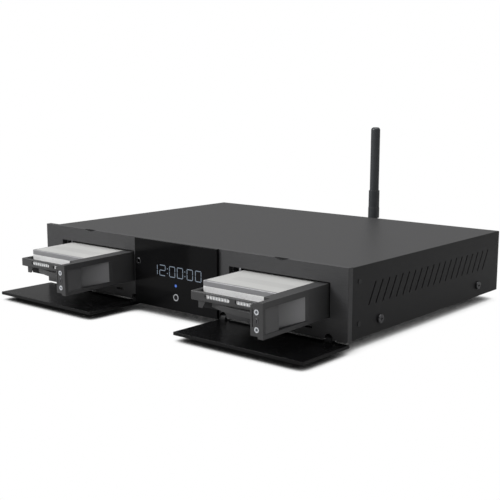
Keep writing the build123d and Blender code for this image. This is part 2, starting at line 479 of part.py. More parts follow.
# ================================================================ doors
def make_doors():
    """Each fold-down door, lying open, with its two knuckles, the brackets in the panel and the pins."""
    top = HINGE_Z - HINGE_Y
    notch = HINGE_NOTCH_W / 2
    for side in SIDES:
        low, high = bay_span(side)
        with BuildPart() as door:
            brick(low, high, -DOOR_REACH, DOOR_BACK, top - DOOR_T, top)
            fillet(door.edges().filter_by(Axis.X).group_by(Axis.Y)[-1], DOOR_T * 0.45)
            chamfer(door.edges().filter_by(Axis.Z), 0.6)
        keep(door, f"door_{side}")
        with BuildPart() as knuckles:
            for x in HINGE_X[side]:
                ends = x - KNUCKLE_W / 2, x + KNUCKLE_W / 2
                brick(*ends, -KNUCKLE_FOOT, HINGE_Y, top, HINGE_Z)
                axle(*ends, HINGE_Y, HINGE_Z, KNUCKLE_R)
                brick(x - KNUCKLE_W, x + KNUCKLE_W, -KNUCKLE_FOOT, DOOR_BACK + 1, top - KNUCKLE_R, top,
                      Mode.SUBTRACT)
                axle(ends[0] - 1, ends[1] + 1, HINGE_Y, HINGE_Z, HINGE_PIN_R + BORE_FIT, mode=Mode.SUBTRACT)
        keep(knuckles, f"door_knuckles_{side}")
    hinges = (*HINGE_X["left"], *HINGE_X["right"])
    outer = notch + EAR_W
    with BuildPart() as brackets:
        for x in hinges:
            brick(x - outer, x + outer, EAR_SETBACK, PANEL_T, top + EAR_GAP, EAR_TOP)
            brick(x - notch, x + notch, -1, PANEL_T - EAR_WEB_T, top, EAR_TOP + 1, Mode.SUBTRACT)
            axle(x - outer - 1, x + outer + 1, HINGE_Y, HINGE_Z, HINGE_PIN_R + BORE_FIT, mode=Mode.SUBTRACT)
    keep(brackets, "hinge_brackets")
    with BuildPart() as pins:
        for x in hinges:
            axle(x - outer, x + outer, HINGE_Y, HINGE_Z, HINGE_PIN_R)
    keep(pins, "hinge_pins")


# ================================================================ trays
def make_tray_frame(side):
    """The tray's moulding: floor, side walls, an arm along the drive's left side and the lock block."""
    c = BAY_X[side]
    left, right = c + TRAY_LEFT, c + TRAY_RIGHT
    with BuildPart() as frame:
        brick(c + DRIVE_RIGHT, right, -TRAY_OUT, TRAY_BACK, TRAY_LOW, WALL_TOP)
        with BuildSketch(Plane.XZ.offset(TRAY_OUT - FRONT)):
            with BuildLine():
                Polyline(
                    (c + BLOCK_LEFT, BASE + TRAY_LOW + BLOCK_STEP),
                    (c + BLOCK_LEFT, BASE + WALL_TOP - CROWN_DROP),
                    (c + BLOCK_LEFT + CROWN_W, BASE + WALL_TOP),
                    (right, BASE + WALL_TOP),
                    (right, BASE + TRAY_LOW + BLOCK_STEP),
                    close=True,
                )
            make_face()
        extrude(amount=-BLOCK_D)
        back = -TRAY_OUT + BLOCK_D
        brick(c + BLOCK_LEFT, right, -TRAY_OUT + CROWN_D, back, TRAY_LOW + BLOCK_STEP, WALL_TOP)
        brick(c + BLOCK_LEFT, right, back, TRAY_BACK, WALL_TOP - WALL_LIP_T, WALL_TOP)
        brick(left, left + LEFT_WALL_T, back, TRAY_BACK, BAR_LOW, BAR_HIGH)
        brick(left, right, -FLOOR_FRONT, TRAY_BACK, TRAY_LOW, TRAY_LOW + TRAY_FLOOR_T)
        brick(left, left + LEFT_WALL_T, -FLOOR_FRONT, TRAY_BACK, TRAY_LOW, TRAY_LOW + LEFT_WALL_H)
        for x0 in (c + DRIVE_LEFT, c + DRIVE_RIGHT - RAIL_W):
            brick(x0, x0 + RAIL_W, -FLOOR_FRONT, TRAY_BACK, TRAY_LOW, DRIVE_BOTTOM)
        brick(left + LEFT_WALL_T + FLOOR_CUT_SIDE, c + DRIVE_RIGHT - FLOOR_CUT_SIDE,
              FLOOR_CUT_END - FLOOR_FRONT,
              TRAY_BACK - FLOOR_CUT_END, TRAY_LOW - 1, TRAY_LOW + TRAY_FLOOR_T + 1, Mode.SUBTRACT)
        # finger scoop in the side wall: a shallow flat, then a floor that slants out to the back
        brick(right - SCOOP_FLAT, right + 1, -SCOOP_START, -SCOOP_DIVIDE, SCOOP_LOW, SCOOP_HIGH,
              Mode.SUBTRACT)
        with BuildSketch(Plane.XY.offset(BASE + SCOOP_LOW)):
            with BuildLine():
                Polyline(
                    (right - SCOOP_DEEP, FRONT - SCOOP_DIVIDE),
                    (right, FRONT - SCOOP_END),
                    (right + 1, FRONT - SCOOP_END),
                    (right + 1, FRONT - SCOOP_DIVIDE),
                    close=True,
                )
            make_face()
        extrude(amount=SCOOP_HIGH - SCOOP_LOW, mode=Mode.SUBTRACT)
        # pocket for the lever's eye, the slit beside it, and the bores in the block's face
        reach = PIVOT_EYE_R + POCKET_ROOM
        brick(c + BLOCK_LEFT - 1, c + PIVOT_X + reach, -PIVOT_Y - POCKET_FRONT, back + 1,
              LEVER_LOW - FIT, LEVER_HIGH + FIT, Mode.SUBTRACT)
        brick(c + SLIT_X - SLIT_W / 2, c + SLIT_X + SLIT_W / 2, -TRAY_OUT - 1, -TRAY_OUT + SLIT_DEEP,
              SLIT_LOW, SLIT_HIGH, Mode.SUBTRACT)
        rod(c + LOCK_X, -TRAY_OUT - 1, -TRAY_OUT + LOCK_L, LOCK_Z, LOCK_R + BORE_FIT, mode=Mode.SUBTRACT)
        for z in LIGHT_Z:
            rod(c + LOCK_X, -TRAY_OUT - 1, -TRAY_OUT + LIGHT_L, z, LIGHT_R + BORE_FIT, mode=Mode.SUBTRACT)
        post(c + PIVOT_X, -PIVOT_Y, LEVER_LOW - PIN_SEAT, LEVER_HIGH + PIN_SEAT, PIVOT_R + BORE_FIT,
             mode=Mode.SUBTRACT)
    keep_leaning(frame, f"tray_frame_{side}")


def make_tray_bar(side):
    """Cross bar in front of the drive, with two rounded vents and a tab under its left end."""
    c = BAY_X[side]
    back = BAR_FRONT + BAR_T
    with BuildPart() as bar:
        brick(c + TRAY_LEFT, c + BLOCK_LEFT, BAR_FRONT, back, BAR_LOW, BAR_HIGH)
        fillet(bar.edges().filter_by(Axis.X).group_by(Axis.Y)[0], 0.8)
        with BuildSketch(Plane.XZ.offset(-FRONT - back)):
            with Locations(*((c + x, BASE + VENT_Z) for x in VENT_X)):
                SlotOverall(VENT_L, VENT_H)
        extrude(amount=BAR_T + 1, both=True, mode=Mode.SUBTRACT)
        with BuildSketch(Plane.XZ.offset(-FRONT - back)):
            with BuildLine():
                Polyline(
                    (c + TAB_LEFT, BASE + BAR_LOW + 1),
                    (c + TAB_RIGHT, BASE + BAR_LOW + 1),
                    (c + TAB_RIGHT, BASE + BAR_LOW),
                    (c + TAB_LEFT + TAB_FOOT, BASE + TAB_LOW),
                    (c + TAB_LEFT, BASE + TAB_LOW),
                    close=True,
                )
            make_face()
        extrude(amount=BAR_T / 2)
    keep_leaning(bar, f"tray_bar_{side}")


def make_tray_lever(side):
    """Bowed pull lever under the bar, with the upright pin that it swings on in the block."""
    c = BAY_X[side]
    tip = (c + LEVER_X, FRONT - LEVER_Y)
    root = (c + PIVOT_X, FRONT - PIVOT_Y)
    middle = ((tip[0] + root[0]) / 2, (tip[1] + root[1]) / 2 - LEVER_BULGE)
    with BuildPart() as lever:
        with BuildSketch(Plane.XY.offset(BASE + LEVER_LOW)):
            with BuildLine():
                ThreePointArc(tip, middle, root)
            trace(line_width=LEVER_T)
            with Locations(root):
                Circle(PIVOT_EYE_R)
            with Locations(tip):
                Circle(LEVER_T / 2)
        extrude(amount=LEVER_HIGH - LEVER_LOW)
        post(c + PIVOT_X, -PIVOT_Y, LEVER_LOW - PIN_SEAT + FIT, LEVER_HIGH + PIN_SEAT - FIT, PIVOT_R)
    keep_leaning(lever, f"tray_lever_{side}")


def make_tray_front(side):
    """Lock barrel with its keyway, and the two ring lights above and below it."""
    c = BAY_X[side]
    with BuildPart() as barrel:
        rod(c + LOCK_X, -TRAY_OUT - LOCK_PROUD, -TRAY_OUT + LOCK_L - FIT, LOCK_Z, LOCK_R)
        chamfer(barrel.faces().sort_by(Axis.Y)[0].edges(), 0.3)
        brick(c + LOCK_X - KEYWAY_W / 2, c + LOCK_X + KEYWAY_W / 2, -TRAY_OUT - 1, -TRAY_OUT + KEYWAY_DEEP,
              LOCK_Z - KEYWAY_H / 2, LOCK_Z + KEYWAY_H / 2, Mode.SUBTRACT)
    keep_leaning(barrel, f"tray_lock_{side}")
    with BuildPart() as lights:
        for z in LIGHT_Z:
            rod(c + LOCK_X, -TRAY_OUT - LIGHT_PROUD, -TRAY_OUT + LIGHT_L, z, LIGHT_R)
            rod(c + LOCK_X, -TRAY_OUT - 1, -TRAY_OUT + LIGHT_L + 1, z, LIGHT_BORE_R, mode=Mode.SUBTRACT)
    keep_leaning(lights, f"tray_lights_{side}")


def make_drive(side):
    """A 3.5 inch hard drive: casting, cover, label and circuit board."""
    c = BAY_X[side]
    left, right = c + DRIVE_LEFT, c + DRIVE_RIGHT
    front, back = -DRIVE_FRONT, DRIVE_L - DRIVE_FRONT
    seam = DRIVE_TOP - LABEL_T - DRIVE_COVER_H
    with BuildPart() as casting:
        brick(left, right, front, back, DRIVE_BOTTOM, seam)
        fillet(casting.edges().filter_by(Axis.Z), DRIVE_CORNER_R)
        brick(left + DRIVE_RAIL_W, right - DRIVE_RAIL_W, front - 1, back + 1, DRIVE_BOTTOM - 1,
              DRIVE_BOTTOM + DRIVE_RECESS, Mode.SUBTRACT)
    keep_leaning(casting, f"drive_base_{side}")
    with BuildPart() as lid:
        brick(left, right, front, back, seam, DRIVE_TOP - LABEL_T)
        fillet(lid.edges().filter_by(Axis.Z), DRIVE_CORNER_R)
        fillet(lid.faces().sort_by(Axis.Z)[-1].edges(), 0.7)
    keep_leaning(lid, f"drive_cover_{side}")
    with BuildPart() as label:
        edge = LABEL_INSET
        brick(left + edge, right - edge, front + edge, back - 12, DRIVE_TOP - LABEL_T, DRIVE_TOP)
        fillet(label.edges().filter_by(Axis.Z), 2.5)
    keep_leaning(label, f"drive_label_{side}")
    with BuildPart() as board:
        edge = DRIVE_RAIL_W + FIT
        z = DRIVE_BOTTOM + DRIVE_RECESS - DRIVE_BOARD_T
        brick(left + edge, right - edge, front + DRIVE_L / 6, back, z, z + DRIVE_BOARD_T)
        middle = (left + right) / 2 - PLUG_SHIFT
        brick(middle - PLUG_W / 2, middle + PLUG_W / 2, back - PLUG_L, back, DRIVE_BOTTOM, z)
    keep_leaning(board, f"drive_board_{side}")


# ================================================================ racks
def make_rack(side):
    """Steel cage round a tray, open at both ends, with a spring finger at its front."""
    c = BAY_X[side]
    half = SLOT_W / 2 + CAGE_SIDE_ROOM
    low, high = SLOT_LOW, SLOT_HIGH
    front = PANEL_T + CAGE_FRONT
    with BuildPart() as cage:
        brick(c - half - CAGE_T, c + half + CAGE_T, front, CAGE_BACK, low - CAGE_T, high + CAGE_T)
        brick(c - half, c + half, front - 1, CAGE_BACK + 1, low, high, Mode.SUBTRACT)
        finger = c + TRAY_LEFT - SPRING_GAP
        brick(finger - SPRING_W, finger, front, front + CAGE_T, high - SPRING_H, high + CAGE_T / 2)
    keep_leaning(cage, f"rack_cage_{side}")


def make_rack_fittings():
    """Nylon guides, rubber isolators and the connector boards of both racks."""
    with BuildPart() as guides:
        for side in SIDES:
            c = BAY_X[side]
            half = SLOT_W / 2 + CAGE_SIDE_ROOM
            y0, y1 = PANEL_T + CAGE_FRONT + 2, CAGE_BACK - 6
            brick(c - half, c + TRAY_LEFT - GUIDE_GAP, y0, y1, SLOT_LOW + 1, SLOT_LOW + 15)
            brick(c + TRAY_RIGHT + GUIDE_GAP, c + half, y0, y1, SLOT_LOW + 1, SLOT_LOW + 15)
    keep_leaning(guides, "rack_guides")
    spots = [(BAY_X[side] + x, y) for side in SIDES for x in (-ISOLATOR_X, ISOLATOR_X) for y in ISOLATOR_Y]
    top = SLOT_LOW - CAGE_T
    with BuildPart() as heads:
        for x, y in spots:
            post(x, y, top - ISOLATOR_H, top, ISOLATOR_R)
    with BuildPart() as isolators:
        add(lean(heads.part))
        for x, y in spots:
            post(x, y, PAN_TOP, PAN_TOP + ISOLATOR_H, ISOLATOR_R)
            post(x, y, PAN_TOP, top - ISOLATOR_H / 2 + y * sin(radians(DROOP)), ISOLATOR_NECK_R)
    keep(isolators, "rack_isolators")
    with BuildPart() as boards:
        for side in SIDES:
            c = BAY_X[side]
            y = CAGE_BACK
            half = SLOT_W / 2 + CAGE_SIDE_ROOM + CAGE_T
            brick(c - half, c + half, y, y + BACKPLANE_T, SLOT_LOW - CAGE_T, SLOT_HIGH + CAGE_T)
            middle = c + (DRIVE_LEFT + DRIVE_RIGHT) / 2 - PLUG_SHIFT
            brick(middle - PLUG_W / 2, middle + PLUG_W / 2, PLUG_MOUTH, y, DRIVE_BOTTOM,
                  DRIVE_BOTTOM + PLUG_H)
            rear = y + BACKPLANE_T
            brick(middle - PLUG_W / 4, middle + PLUG_W / 4, rear, rear + PLUG_L, SLOT_HIGH - 17,
                  SLOT_HIGH - 11)
    keep_leaning(boards, "backplanes")


# ================================================================ inside
def make_mainboard():
    """Main circuit board with its chips, and the finned heat sink on the processor."""
    back, z = BOARD_BACK, BOARD_TOP
    with BuildPart() as board:
        brick(MAIN_X - MAIN_W / 2, MAIN_X + MAIN_W / 2, back - MAIN_D, back, BOARD_Z, z)
        brick(SINK_X - 14, SINK_X + 14, back - 60, back - 32, z, z + CHIP_H)
        for x in (MAIN_X - 77, MAIN_X - 57, MAIN_X + 43, MAIN_X + 63):
            brick(x - 6, x + 6, back - 66, back - 52, z, z + CHIP_H / 2)
        brick(MAIN_X + 73, MAIN_X + 79, back - 50, back - 20, z, z + 9)
    keep(board, "mainboard")
    with BuildPart() as sink:
        low = z + CHIP_H
        y0, y1 = back - 46 - SINK_D / 2, back - 46 + SINK_D / 2
        brick(SINK_X - SINK_W / 2, SINK_X + SINK_W / 2, y0, y1, low, low + 4)
        for i in range(SINK_FINS):
            x = SINK_X - SINK_W / 2 + FIN_T / 2 + i * (SINK_W - FIN_T) / (SINK_FINS - 1)
            brick(x - FIN_T / 2, x + FIN_T / 2, y0, y1, low + 4, low + SINK_H)
    keep(sink, "heat_sink")


def make_power_supply():
    """Power supply board with its transformer, capacitors and heat spreader."""
    back, z = BOARD_BACK, BOARD_TOP
    with BuildPart() as supply:
        brick(SUPPLY_X - SUPPLY_W / 2, SUPPLY_X + SUPPLY_W / 2, back - SUPPLY_D, back, BOARD_Z, z)
        x = SUPPLY_X + TRANSFORMER_SHIFT
        y = back - SUPPLY_D / 2
        brick(x - TRANSFORMER_W / 2, x + TRANSFORMER_W / 2, y - TRANSFORMER_D / 2, y + TRANSFORMER_D / 2,
              z, z + TRANSFORMER_H)
        post(SUPPLY_X - BULK_SHIFT, y, z, z + BULK_H, BULK_R)
        for i in range(3):
            post(SUPPLY_X - SMALL_SHIFT + i * SMALL_PITCH, back - SUPPLY_D + SMALL_EDGE, z, z + SMALL_H,
                 SMALL_R)
        x = SUPPLY_X + SUPPLY_W / 2 - SPREADER_EDGE
        brick(x - SPREADER_T, x, y - SPREADER_L / 2, y + SPREADER_L / 2, z, z + SPREADER_H)
    keep(supply, "power_supply")


# ================================================================ rear
def make_sockets():
    """The boxes in the rear panel: mains inlet, switch frame, data sockets and audio sockets."""
    for socket in SOCKETS:
        x, wide, tall, low, wall = socket["x"], socket["w"], socket["h"], socket["z"], socket["wall"]
        mouth = REAR_OUT + SOCKET_PROUD
        floor = mouth - socket["depth"]
        with BuildPart() as shell:
            brick(x - wide / 2, x + wide / 2, floor, mouth, low, low + tall)
            if socket["flange"]:
                rim = socket["flange"]
                brick(x - wide / 2 - rim, x + wide / 2 + rim, REAR_OUT, mouth, low - rim, low + tall + rim)
            brick(x - wide / 2 + wall, x + wide / 2 - wall, floor + wall, mouth + 1, low + wall,
                  low + tall - wall, Mode.SUBTRACT)
            for dx, dz, pin_w, pin_h in socket["pins"]:
                pin_x, pin_z = x + dx, low + tall / 2 + dz
                brick(pin_x - pin_w / 2, pin_x + pin_w / 2, floor + wall / 2, mouth - socket["setback"],
                      pin_z - pin_h / 2, pin_z + pin_h / 2)
            if socket["name"] == "switch_frame":
                axle(x - wide, x + wide, REAR_OUT - ROCKER_DEEP, SWITCH_Z, PIVOT_R + BORE_FIT,
                     mode=Mode.SUBTRACT)
        keep(shell, socket["name"])
    with BuildPart() as audio:
        brick(AUDIO_X[0] - 8, AUDIO_X[-1] + 8, BOARD_BACK - 10, REAR_IN, BOARD_TOP, AUDIO_Z + 8)
        for x in AUDIO_X:
            rod(x, REAR_IN - 1, REAR_OUT + AUDIO_L, AUDIO_Z, AUDIO_R)
            rod(x, REAR_IN + 1, REAR_OUT + AUDIO_L + 1, AUDIO_Z, AUDIO_BORE_R, mode=Mode.SUBTRACT)
    keep(audio, "audio_sockets")


def make_rocker():
    """Rocker of the mains switch, which tips about its two stub pins."""
    face = FRONT + REAR_OUT + SOCKET_PROUD
    middle = BASE + SWITCH_Z
    half = SWITCH_H / 2 - 2 * SWITCH_WALL
    with BuildPart() as rocker:
        with BuildSketch(Plane.YZ.offset(SWITCH_X - SWITCH_W / 2 + SWITCH_WALL + FIT)):
            with BuildLine():
                Polyline(
                    (face - 9, middle - half / 2),
                    (face + 0.2, middle - half),
                    (face - 1.2, middle),
                    (face + 2.4, middle + half),
                    (face - 9, middle + half / 2),
                    close=True,
                )
            make_face()
        extrude(amount=SWITCH_W - 2 * SWITCH_WALL - 2 * FIT)
        axle(SWITCH_X - SWITCH_W / 2, SWITCH_X + SWITCH_W / 2, REAR_OUT - ROCKER_DEEP, SWITCH_Z, PIVOT_R)
    keep(rocker, "power_rocker")


def make_antenna():
    """Screw socket on the rear panel, the swivelling elbow and the folding whip."""
    socket_end = REAR_OUT + THREAD_L
    with BuildPart() as socket:
        rod(ANTENNA_X, REAR_IN - 6, socket_end, ANTENNA_Z, THREAD_R)
        rod(ANTENNA_X, REAR_IN - NUT_T, REAR_IN, ANTENNA_Z, NUT_R)
    keep(socket, "antenna_socket")
    with BuildPart() as elbow:
        rod(ANTENNA_X, REAR_OUT + 0.8, ANTENNA_Y - 2, ANTENNA_Z, COLLAR_R - 1.2)
        axle(ANTENNA_X - COLLAR_R, ANTENNA_X + COLLAR_R, ANTENNA_Y, ANTENNA_Z, COLLAR_R)
        brick(ANTENNA_X - FORK_GAP / 2, ANTENNA_X + FORK_GAP / 2, ANTENNA_Y - COLLAR_R,
              ANTENNA_Y + 2 * COLLAR_R,
              ANTENNA_Z - 2 * COLLAR_R, ANTENNA_Z + 2 * COLLAR_R, Mode.SUBTRACT)
        rod(ANTENNA_X, REAR_OUT, socket_end + FIT, ANTENNA_Z, THREAD_R + BORE_FIT, mode=Mode.SUBTRACT)
        axle(ANTENNA_X - COLLAR_R - 1, ANTENNA_X + COLLAR_R + 1, ANTENNA_Y, ANTENNA_Z, PIVOT_R + BORE_FIT,
             mode=Mode.SUBTRACT)
    keep(elbow, "antenna_elbow")
    with BuildPart() as whip:
        axle(ANTENNA_X - TONGUE_T / 2, ANTENNA_X + TONGUE_T / 2, ANTENNA_Y, ANTENNA_Z, COLLAR_R - 0.6)
        brick(ANTENNA_X - TONGUE_T / 2, ANTENNA_X + TONGUE_T / 2, ANTENNA_Y - COLLAR_R + 1.6,
              ANTENNA_Y + COLLAR_R - 1.6, ANTENNA_Z, ANTENNA_Z + COLLAR_R + 3)
        axle(ANTENNA_X - COLLAR_R + 0.4, ANTENNA_X + COLLAR_R - 0.4, ANTENNA_Y, ANTENNA_Z, PIVOT_R)
        post(ANTENNA_X, ANTENNA_Y, ANTENNA_Z + COLLAR_R + 1, COLLAR_TOP, COLLAR_R)
        post(ANTENNA_X, ANTENNA_Y, COLLAR_TOP, SLEEVE_TOP, SLEEVE_R)
        post(ANTENNA_X, ANTENNA_Y, SLEEVE_TOP, WHIP_TOP, WHIP_R)
        fillet(whip.faces().sort_by(Axis.Z)[-1].edges(), WHIP_R * 0.6)
    keep(whip, "antenna_whip")


def main():
    """Make every piece."""
    os.makedirs("parts", exist_ok=True)
    make_base_pan()
    make_top_cover()
    make_front_panel()
    make_rear_panel()
    make_front_brackets()
    make_screws()
    make_feet()
    make_display()
    make_controls()
    make_doors()
    for side in SIDES:
        make_tray_frame(side)
        make_tray_bar(side)
        make_tray_lever(side)
        make_tray_front(side)
        make_drive(side)
        make_rack(side)
    make_rack_fittings()
    make_mainboard()
    make_power_supply()
    make_sockets()
    make_rocker()
    make_antenna()


main()
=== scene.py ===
"""Looks of a wide media player with two drive trays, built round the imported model.

Lengths are in metres.  Places named with `at` are given in millimetres, with y
from the front face of the panel and z from the panel's lower edge.
"""

import logging
import math
from dataclasses import dataclass
from enum import Enum

import bmesh
import bpy
from mathutils import Matrix, Vector


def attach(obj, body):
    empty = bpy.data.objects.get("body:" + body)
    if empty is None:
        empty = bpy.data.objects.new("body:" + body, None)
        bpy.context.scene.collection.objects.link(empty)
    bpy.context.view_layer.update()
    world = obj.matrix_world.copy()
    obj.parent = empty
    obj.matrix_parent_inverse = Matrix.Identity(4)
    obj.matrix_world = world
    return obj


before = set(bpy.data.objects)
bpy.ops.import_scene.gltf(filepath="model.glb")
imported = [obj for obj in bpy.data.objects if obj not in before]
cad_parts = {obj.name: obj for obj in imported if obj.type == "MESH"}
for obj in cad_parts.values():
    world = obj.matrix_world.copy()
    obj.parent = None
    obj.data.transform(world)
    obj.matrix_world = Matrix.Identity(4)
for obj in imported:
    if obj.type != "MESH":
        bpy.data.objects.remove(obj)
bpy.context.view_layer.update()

LOG = logging.getLogger("media_player")
FRONT = -0.11955  # y of the front panel's face
BASE = 0.009  # z of the front panel's lower edge
BAYS = {"left": -127.8, "right": 137.2}  # middle of each drive slot, in mm
Colour = tuple[float, float, float]
Point = tuple[float, float, float]


def at(x: float, y: float, z: float) -> Vector:
    """Turn a place in the panel's millimetres into metres of the shared frame.

    Args:
        x: Millimetres to the right of the middle.
        y: Millimetres behind the front face of the panel.
        z: Millimetres above the panel's lower edge.

    Returns:
        The place in the shared frame.
    """
    return Vector((x / 1000, FRONT + y / 1000, BASE + z / 1000))


# ---------------------------------------------------------------- shader helpers
class Wire:
    """An output socket that Python's operators work on."""

    def __init__(self, graph: "Graph", socket: bpy.types.NodeSocket | None) -> None:
        """Keep the socket and the graph it belongs to.

        Args:
            graph: The graph that adds the nodes.
            socket: The output socket, or nothing for a node that has none.
        """
        self.graph = graph
        self.socket = socket

    def maths(self, operation: str, *values: "Wire | float") -> "Wire":
        """Add one Math node.

        Args:
            operation: Name of the operation.
            values: What goes into its sockets.

        Returns:
            The result.
        """
        return self.graph.add("ShaderNodeMath", {"operation": operation}, dict(enumerate(values)))

    def __add__(self, other: "Wire | float") -> "Wire":
        """Add."""
        return self.maths("ADD", self, other)

    def __radd__(self, other: float) -> "Wire":
        """Add to a number."""
        return self.maths("ADD", other, self)

    def __sub__(self, other: "Wire | float") -> "Wire":
        """Subtract."""
        return self.maths("SUBTRACT", self, other)

    def __rsub__(self, other: float) -> "Wire":
        """Subtract from a number."""
        return self.maths("SUBTRACT", other, self)

    def __mul__(self, other: "Wire | float") -> "Wire":
        """Multiply."""
        return self.maths("MULTIPLY", self, other)

    def __abs__(self) -> "Wire":
        """Take the absolute value."""
        return self.maths("ABSOLUTE", self)

    def above(self, limit: "Wire | float") -> "Wire":
        """Compare with a limit.

        Args:
            limit: The limit.

        Returns:
            1 where the value is above it, else 0.
        """
        return self.maths("GREATER_THAN", self, limit)

    def fraction(self) -> "Wire":
        """Keep what stands behind the decimal point."""
        return self.maths("FRACT", self)

    def ramp(self, low: float, high: float) -> "Wire":
        """Rise smoothly from 0 at one value to 1 at another.

        Args:
            low: Value that gives 0.
            high: Value that gives 1.

        Returns:
            The smooth step.
        """
        return self.graph.add(
            "ShaderNodeMapRange",
            {"interpolation_type": "SMOOTHSTEP"},
            {"Value": self, "From Min": low, "From Max": high},
        )


class Graph:
    """The nodes of one material or world."""

    def __init__(self, owner: bpy.types.Material | bpy.types.World) -> None:
        """Empty the node tree of its owner.

        Args:
            owner: The material or world.
        """
        self.owner = owner
        owner.use_nodes = True
        self.tree = owner.node_tree
        self.tree.nodes.clear()

    def add(
        self,
        kind: str,
        settings: dict | None = None,
        inputs: dict | None = None,
        output: int | str = 0,
    ) -> Wire:
        """Add any node: its settings first, then its sockets.

        Args:
            kind: Type of the node.
            settings: Properties of the node, such as its operation.
            inputs: Values or wires by socket name or number.
            output: The socket that is handed back.

        Returns:
            The chosen output.
        """
        node = self.tree.nodes.new(kind)
        for key, value in (settings or {}).items():
            setattr(node, key, value)
        for key, value in (inputs or {}).items():
            if isinstance(value, Wire):
                self.tree.links.new(value.socket, node.inputs[key])
            else:
                node.inputs[key].default_value = value
        return Wire(self, node.outputs[output] if node.outputs else None)

    def place(self, centre: Point = (0, 0, 0), stretch: Point = (1, 1, 1)) -> Wire:
        """Read the place on the object, seen from a centre and stretched.

        Args:
            centre: Place that becomes the origin.
            stretch: Factor along each axis.

        Returns:
            The coordinates.
        """
        spot = self.add("ShaderNodeTexCoord", output="Object")
        shift = tuple(-c * s for c, s in zip(centre, stretch))
        return self.add("ShaderNodeMapping", None, {"Vector": spot, "Location": shift, "Scale": stretch})

    def axis(self, spot: Wire, name: str) -> Wire:
        """Take one axis of some coordinates.

        Args:
            spot: The coordinates.
            name: X, Y or Z.

        Returns:
            The value along that axis.
        """
        return self.add("ShaderNodeSeparateXYZ", None, {0: spot}, name)

    def noise(self, spot: Wire, scale: float, detail: float = 3.0) -> Wire:
        """Make soft noise around one half.

        Args:
            spot: Coordinates in metres.
            scale: Features per metre.
            detail: Octaves.

        Returns:
            The noise.
        """
        return self.add("ShaderNodeTexNoise", None, {"Vector": spot, "Scale": scale, "Detail": detail})

    def mix(self, share: Wire | float, first: Wire | Colour, second: Wire | Colour) -> Wire:
        """Blend two colours.

        Args:
            share: 0 keeps the first colour, 1 gives the second.
            first: Colour at 0.
            second: Colour at 1.

        Returns:
            The blended colour.
        """
        first, second = (c if isinstance(c, Wire) else (*c, 1.0) for c in (first, second))
        return self.add("ShaderNodeMix", {"data_type": "RGBA"}, {0: share, 6: first, 7: second}, 2)

    def tint(self, colour: Wire | Colour, factor: Wire) -> Wire:
        """Brighten or darken a colour.

        Args:
            colour: The colour.
            factor: What it is multiplied by.

        Returns:
            The new colour.
        """
        return self.add("ShaderNodeVectorMath", {"operation": "SCALE"}, {0: colour, "Scale": factor})

    def rounded(self, radius: float) -> Wire:
        """Round edges off in the shading.

        Args:
            radius: Radius in metres.

        Returns:
            The rounded normal.
        """
        return self.add("ShaderNodeBevel", {"samples": 4}, {"Radius": radius})

    def edges(self, soft: Wire) -> Wire:
        """Mark edges, where the rounded normal leaves the plain one.

        Args:
            soft: The rounded normal.

        Returns:
            1 at edges, 0 on flats.
        """
        plain = self.add("ShaderNodeNewGeometry", output="Normal")
        match = self.add("ShaderNodeVectorMath", {"operation": "DOT_PRODUCT"}, {0: soft, 1: plain}, "Value")
        return (1 - match).ramp(0.01, 0.12)

    def bump(self, height: Wire, depth: float, normal: Wire) -> Wire:
        """Raise a surface.

        Args:
            height: Height from 0 to 1.
            depth: What 1 is worth in metres.
            normal: The normal that it is added to.

        Returns:
            The new normal.
        """
        return self.add("ShaderNodeBump", None, {"Height": height, "Distance": depth, "Normal": normal})

    def shade(self, inputs: dict) -> bpy.types.Material:
        """End with the standard surface shader.

        Args:
            inputs: Values and wires of its sockets.

        Returns:
            The finished material.
        """
        surface = self.add("ShaderNodeBsdfPrincipled", None, inputs)
        return self.end(surface)

    def end(self, surface: Wire) -> bpy.types.Material:
        """Send a shader to the material's output.

        Args:
            surface: The shader.

        Returns:
            The material.
        """
        self.add("ShaderNodeOutputMaterial", None, {"Surface": surface})
        return self.owner


# ---------------------------------------------------------------- finishes
@dataclass(frozen=True)
class Finish:
    """A surface with a fine grain, slow changes of tone and rounded, slightly lighter edges; where asked,
    faces that look up are painted lighter, a painted sheen of the light from above.
    """

    name: str
    colour: Colour
    roughness: float
    metallic: float = 0.0
    specular: float = 0.5
    grain: float = 1800.0
    depth: float = 0.00002
    mottle: float = 0.10
    stretch: Point = (1.0, 1.0, 1.0)
    edge: float = 0.0004
    wear: float = 0.5
    painted_top_light: float = 0.0  # painted light: how much lighter faces that look up are, a painted sheen of the light from above

    def pattern(self, graph: Graph, colour: Wire | Colour, height: Wire) -> tuple[Wire | Colour, Wire]:
        """Lay a finish's own pattern over the plain tone.

        Args:
            graph: The graph of the material; not used here.
            colour: The plain colour.
            height: The grain's height.

        Returns:
            The colour and height with the pattern.
        """
        return colour, height

    def build(self) -> bpy.types.Material:
        """Make the material.

        Returns:
            The material.
        """
        graph = Graph(bpy.data.materials.new(self.name))
        spot = graph.place(stretch=self.stretch)
        fine = graph.noise(spot, self.grain)
        slow = graph.noise(graph.place(), 35.0, 4.0)
        tone = 1 + (slow - 0.5) * (2 * self.mottle) + (fine - 0.5) * self.mottle
        colour, height = self.pattern(graph, self.colour, fine)
        colour = graph.tint(colour, tone)
        # painted light: faces that look up get a lighter base colour, a painted sheen of the light from above
        if self.painted_top_light:
            up = graph.axis(graph.add("ShaderNodeTexCoord", output="Normal"), "Z").ramp(0.5, 1.0)
            pale = tuple(c + self.painted_top_light for c in self.colour)
            colour = graph.mix(up, colour, graph.tint(pale, tone))
        soft = graph.rounded(self.edge)
        worn = graph.edges(soft) * self.wear
        light = tuple(min(1.0, c * 1.8 + 0.01) for c in self.colour)
        inputs = {
            "Base Color": graph.mix(worn, colour, light),
            "Roughness": self.roughness + (slow - 0.5) * self.mottle + (fine - 0.5) * 0.08,
            "Metallic": self.metallic,
            "Specular IOR Level": self.specular,
            "Normal": graph.bump(height, self.depth, soft),
        }
        return graph.shade(inputs)


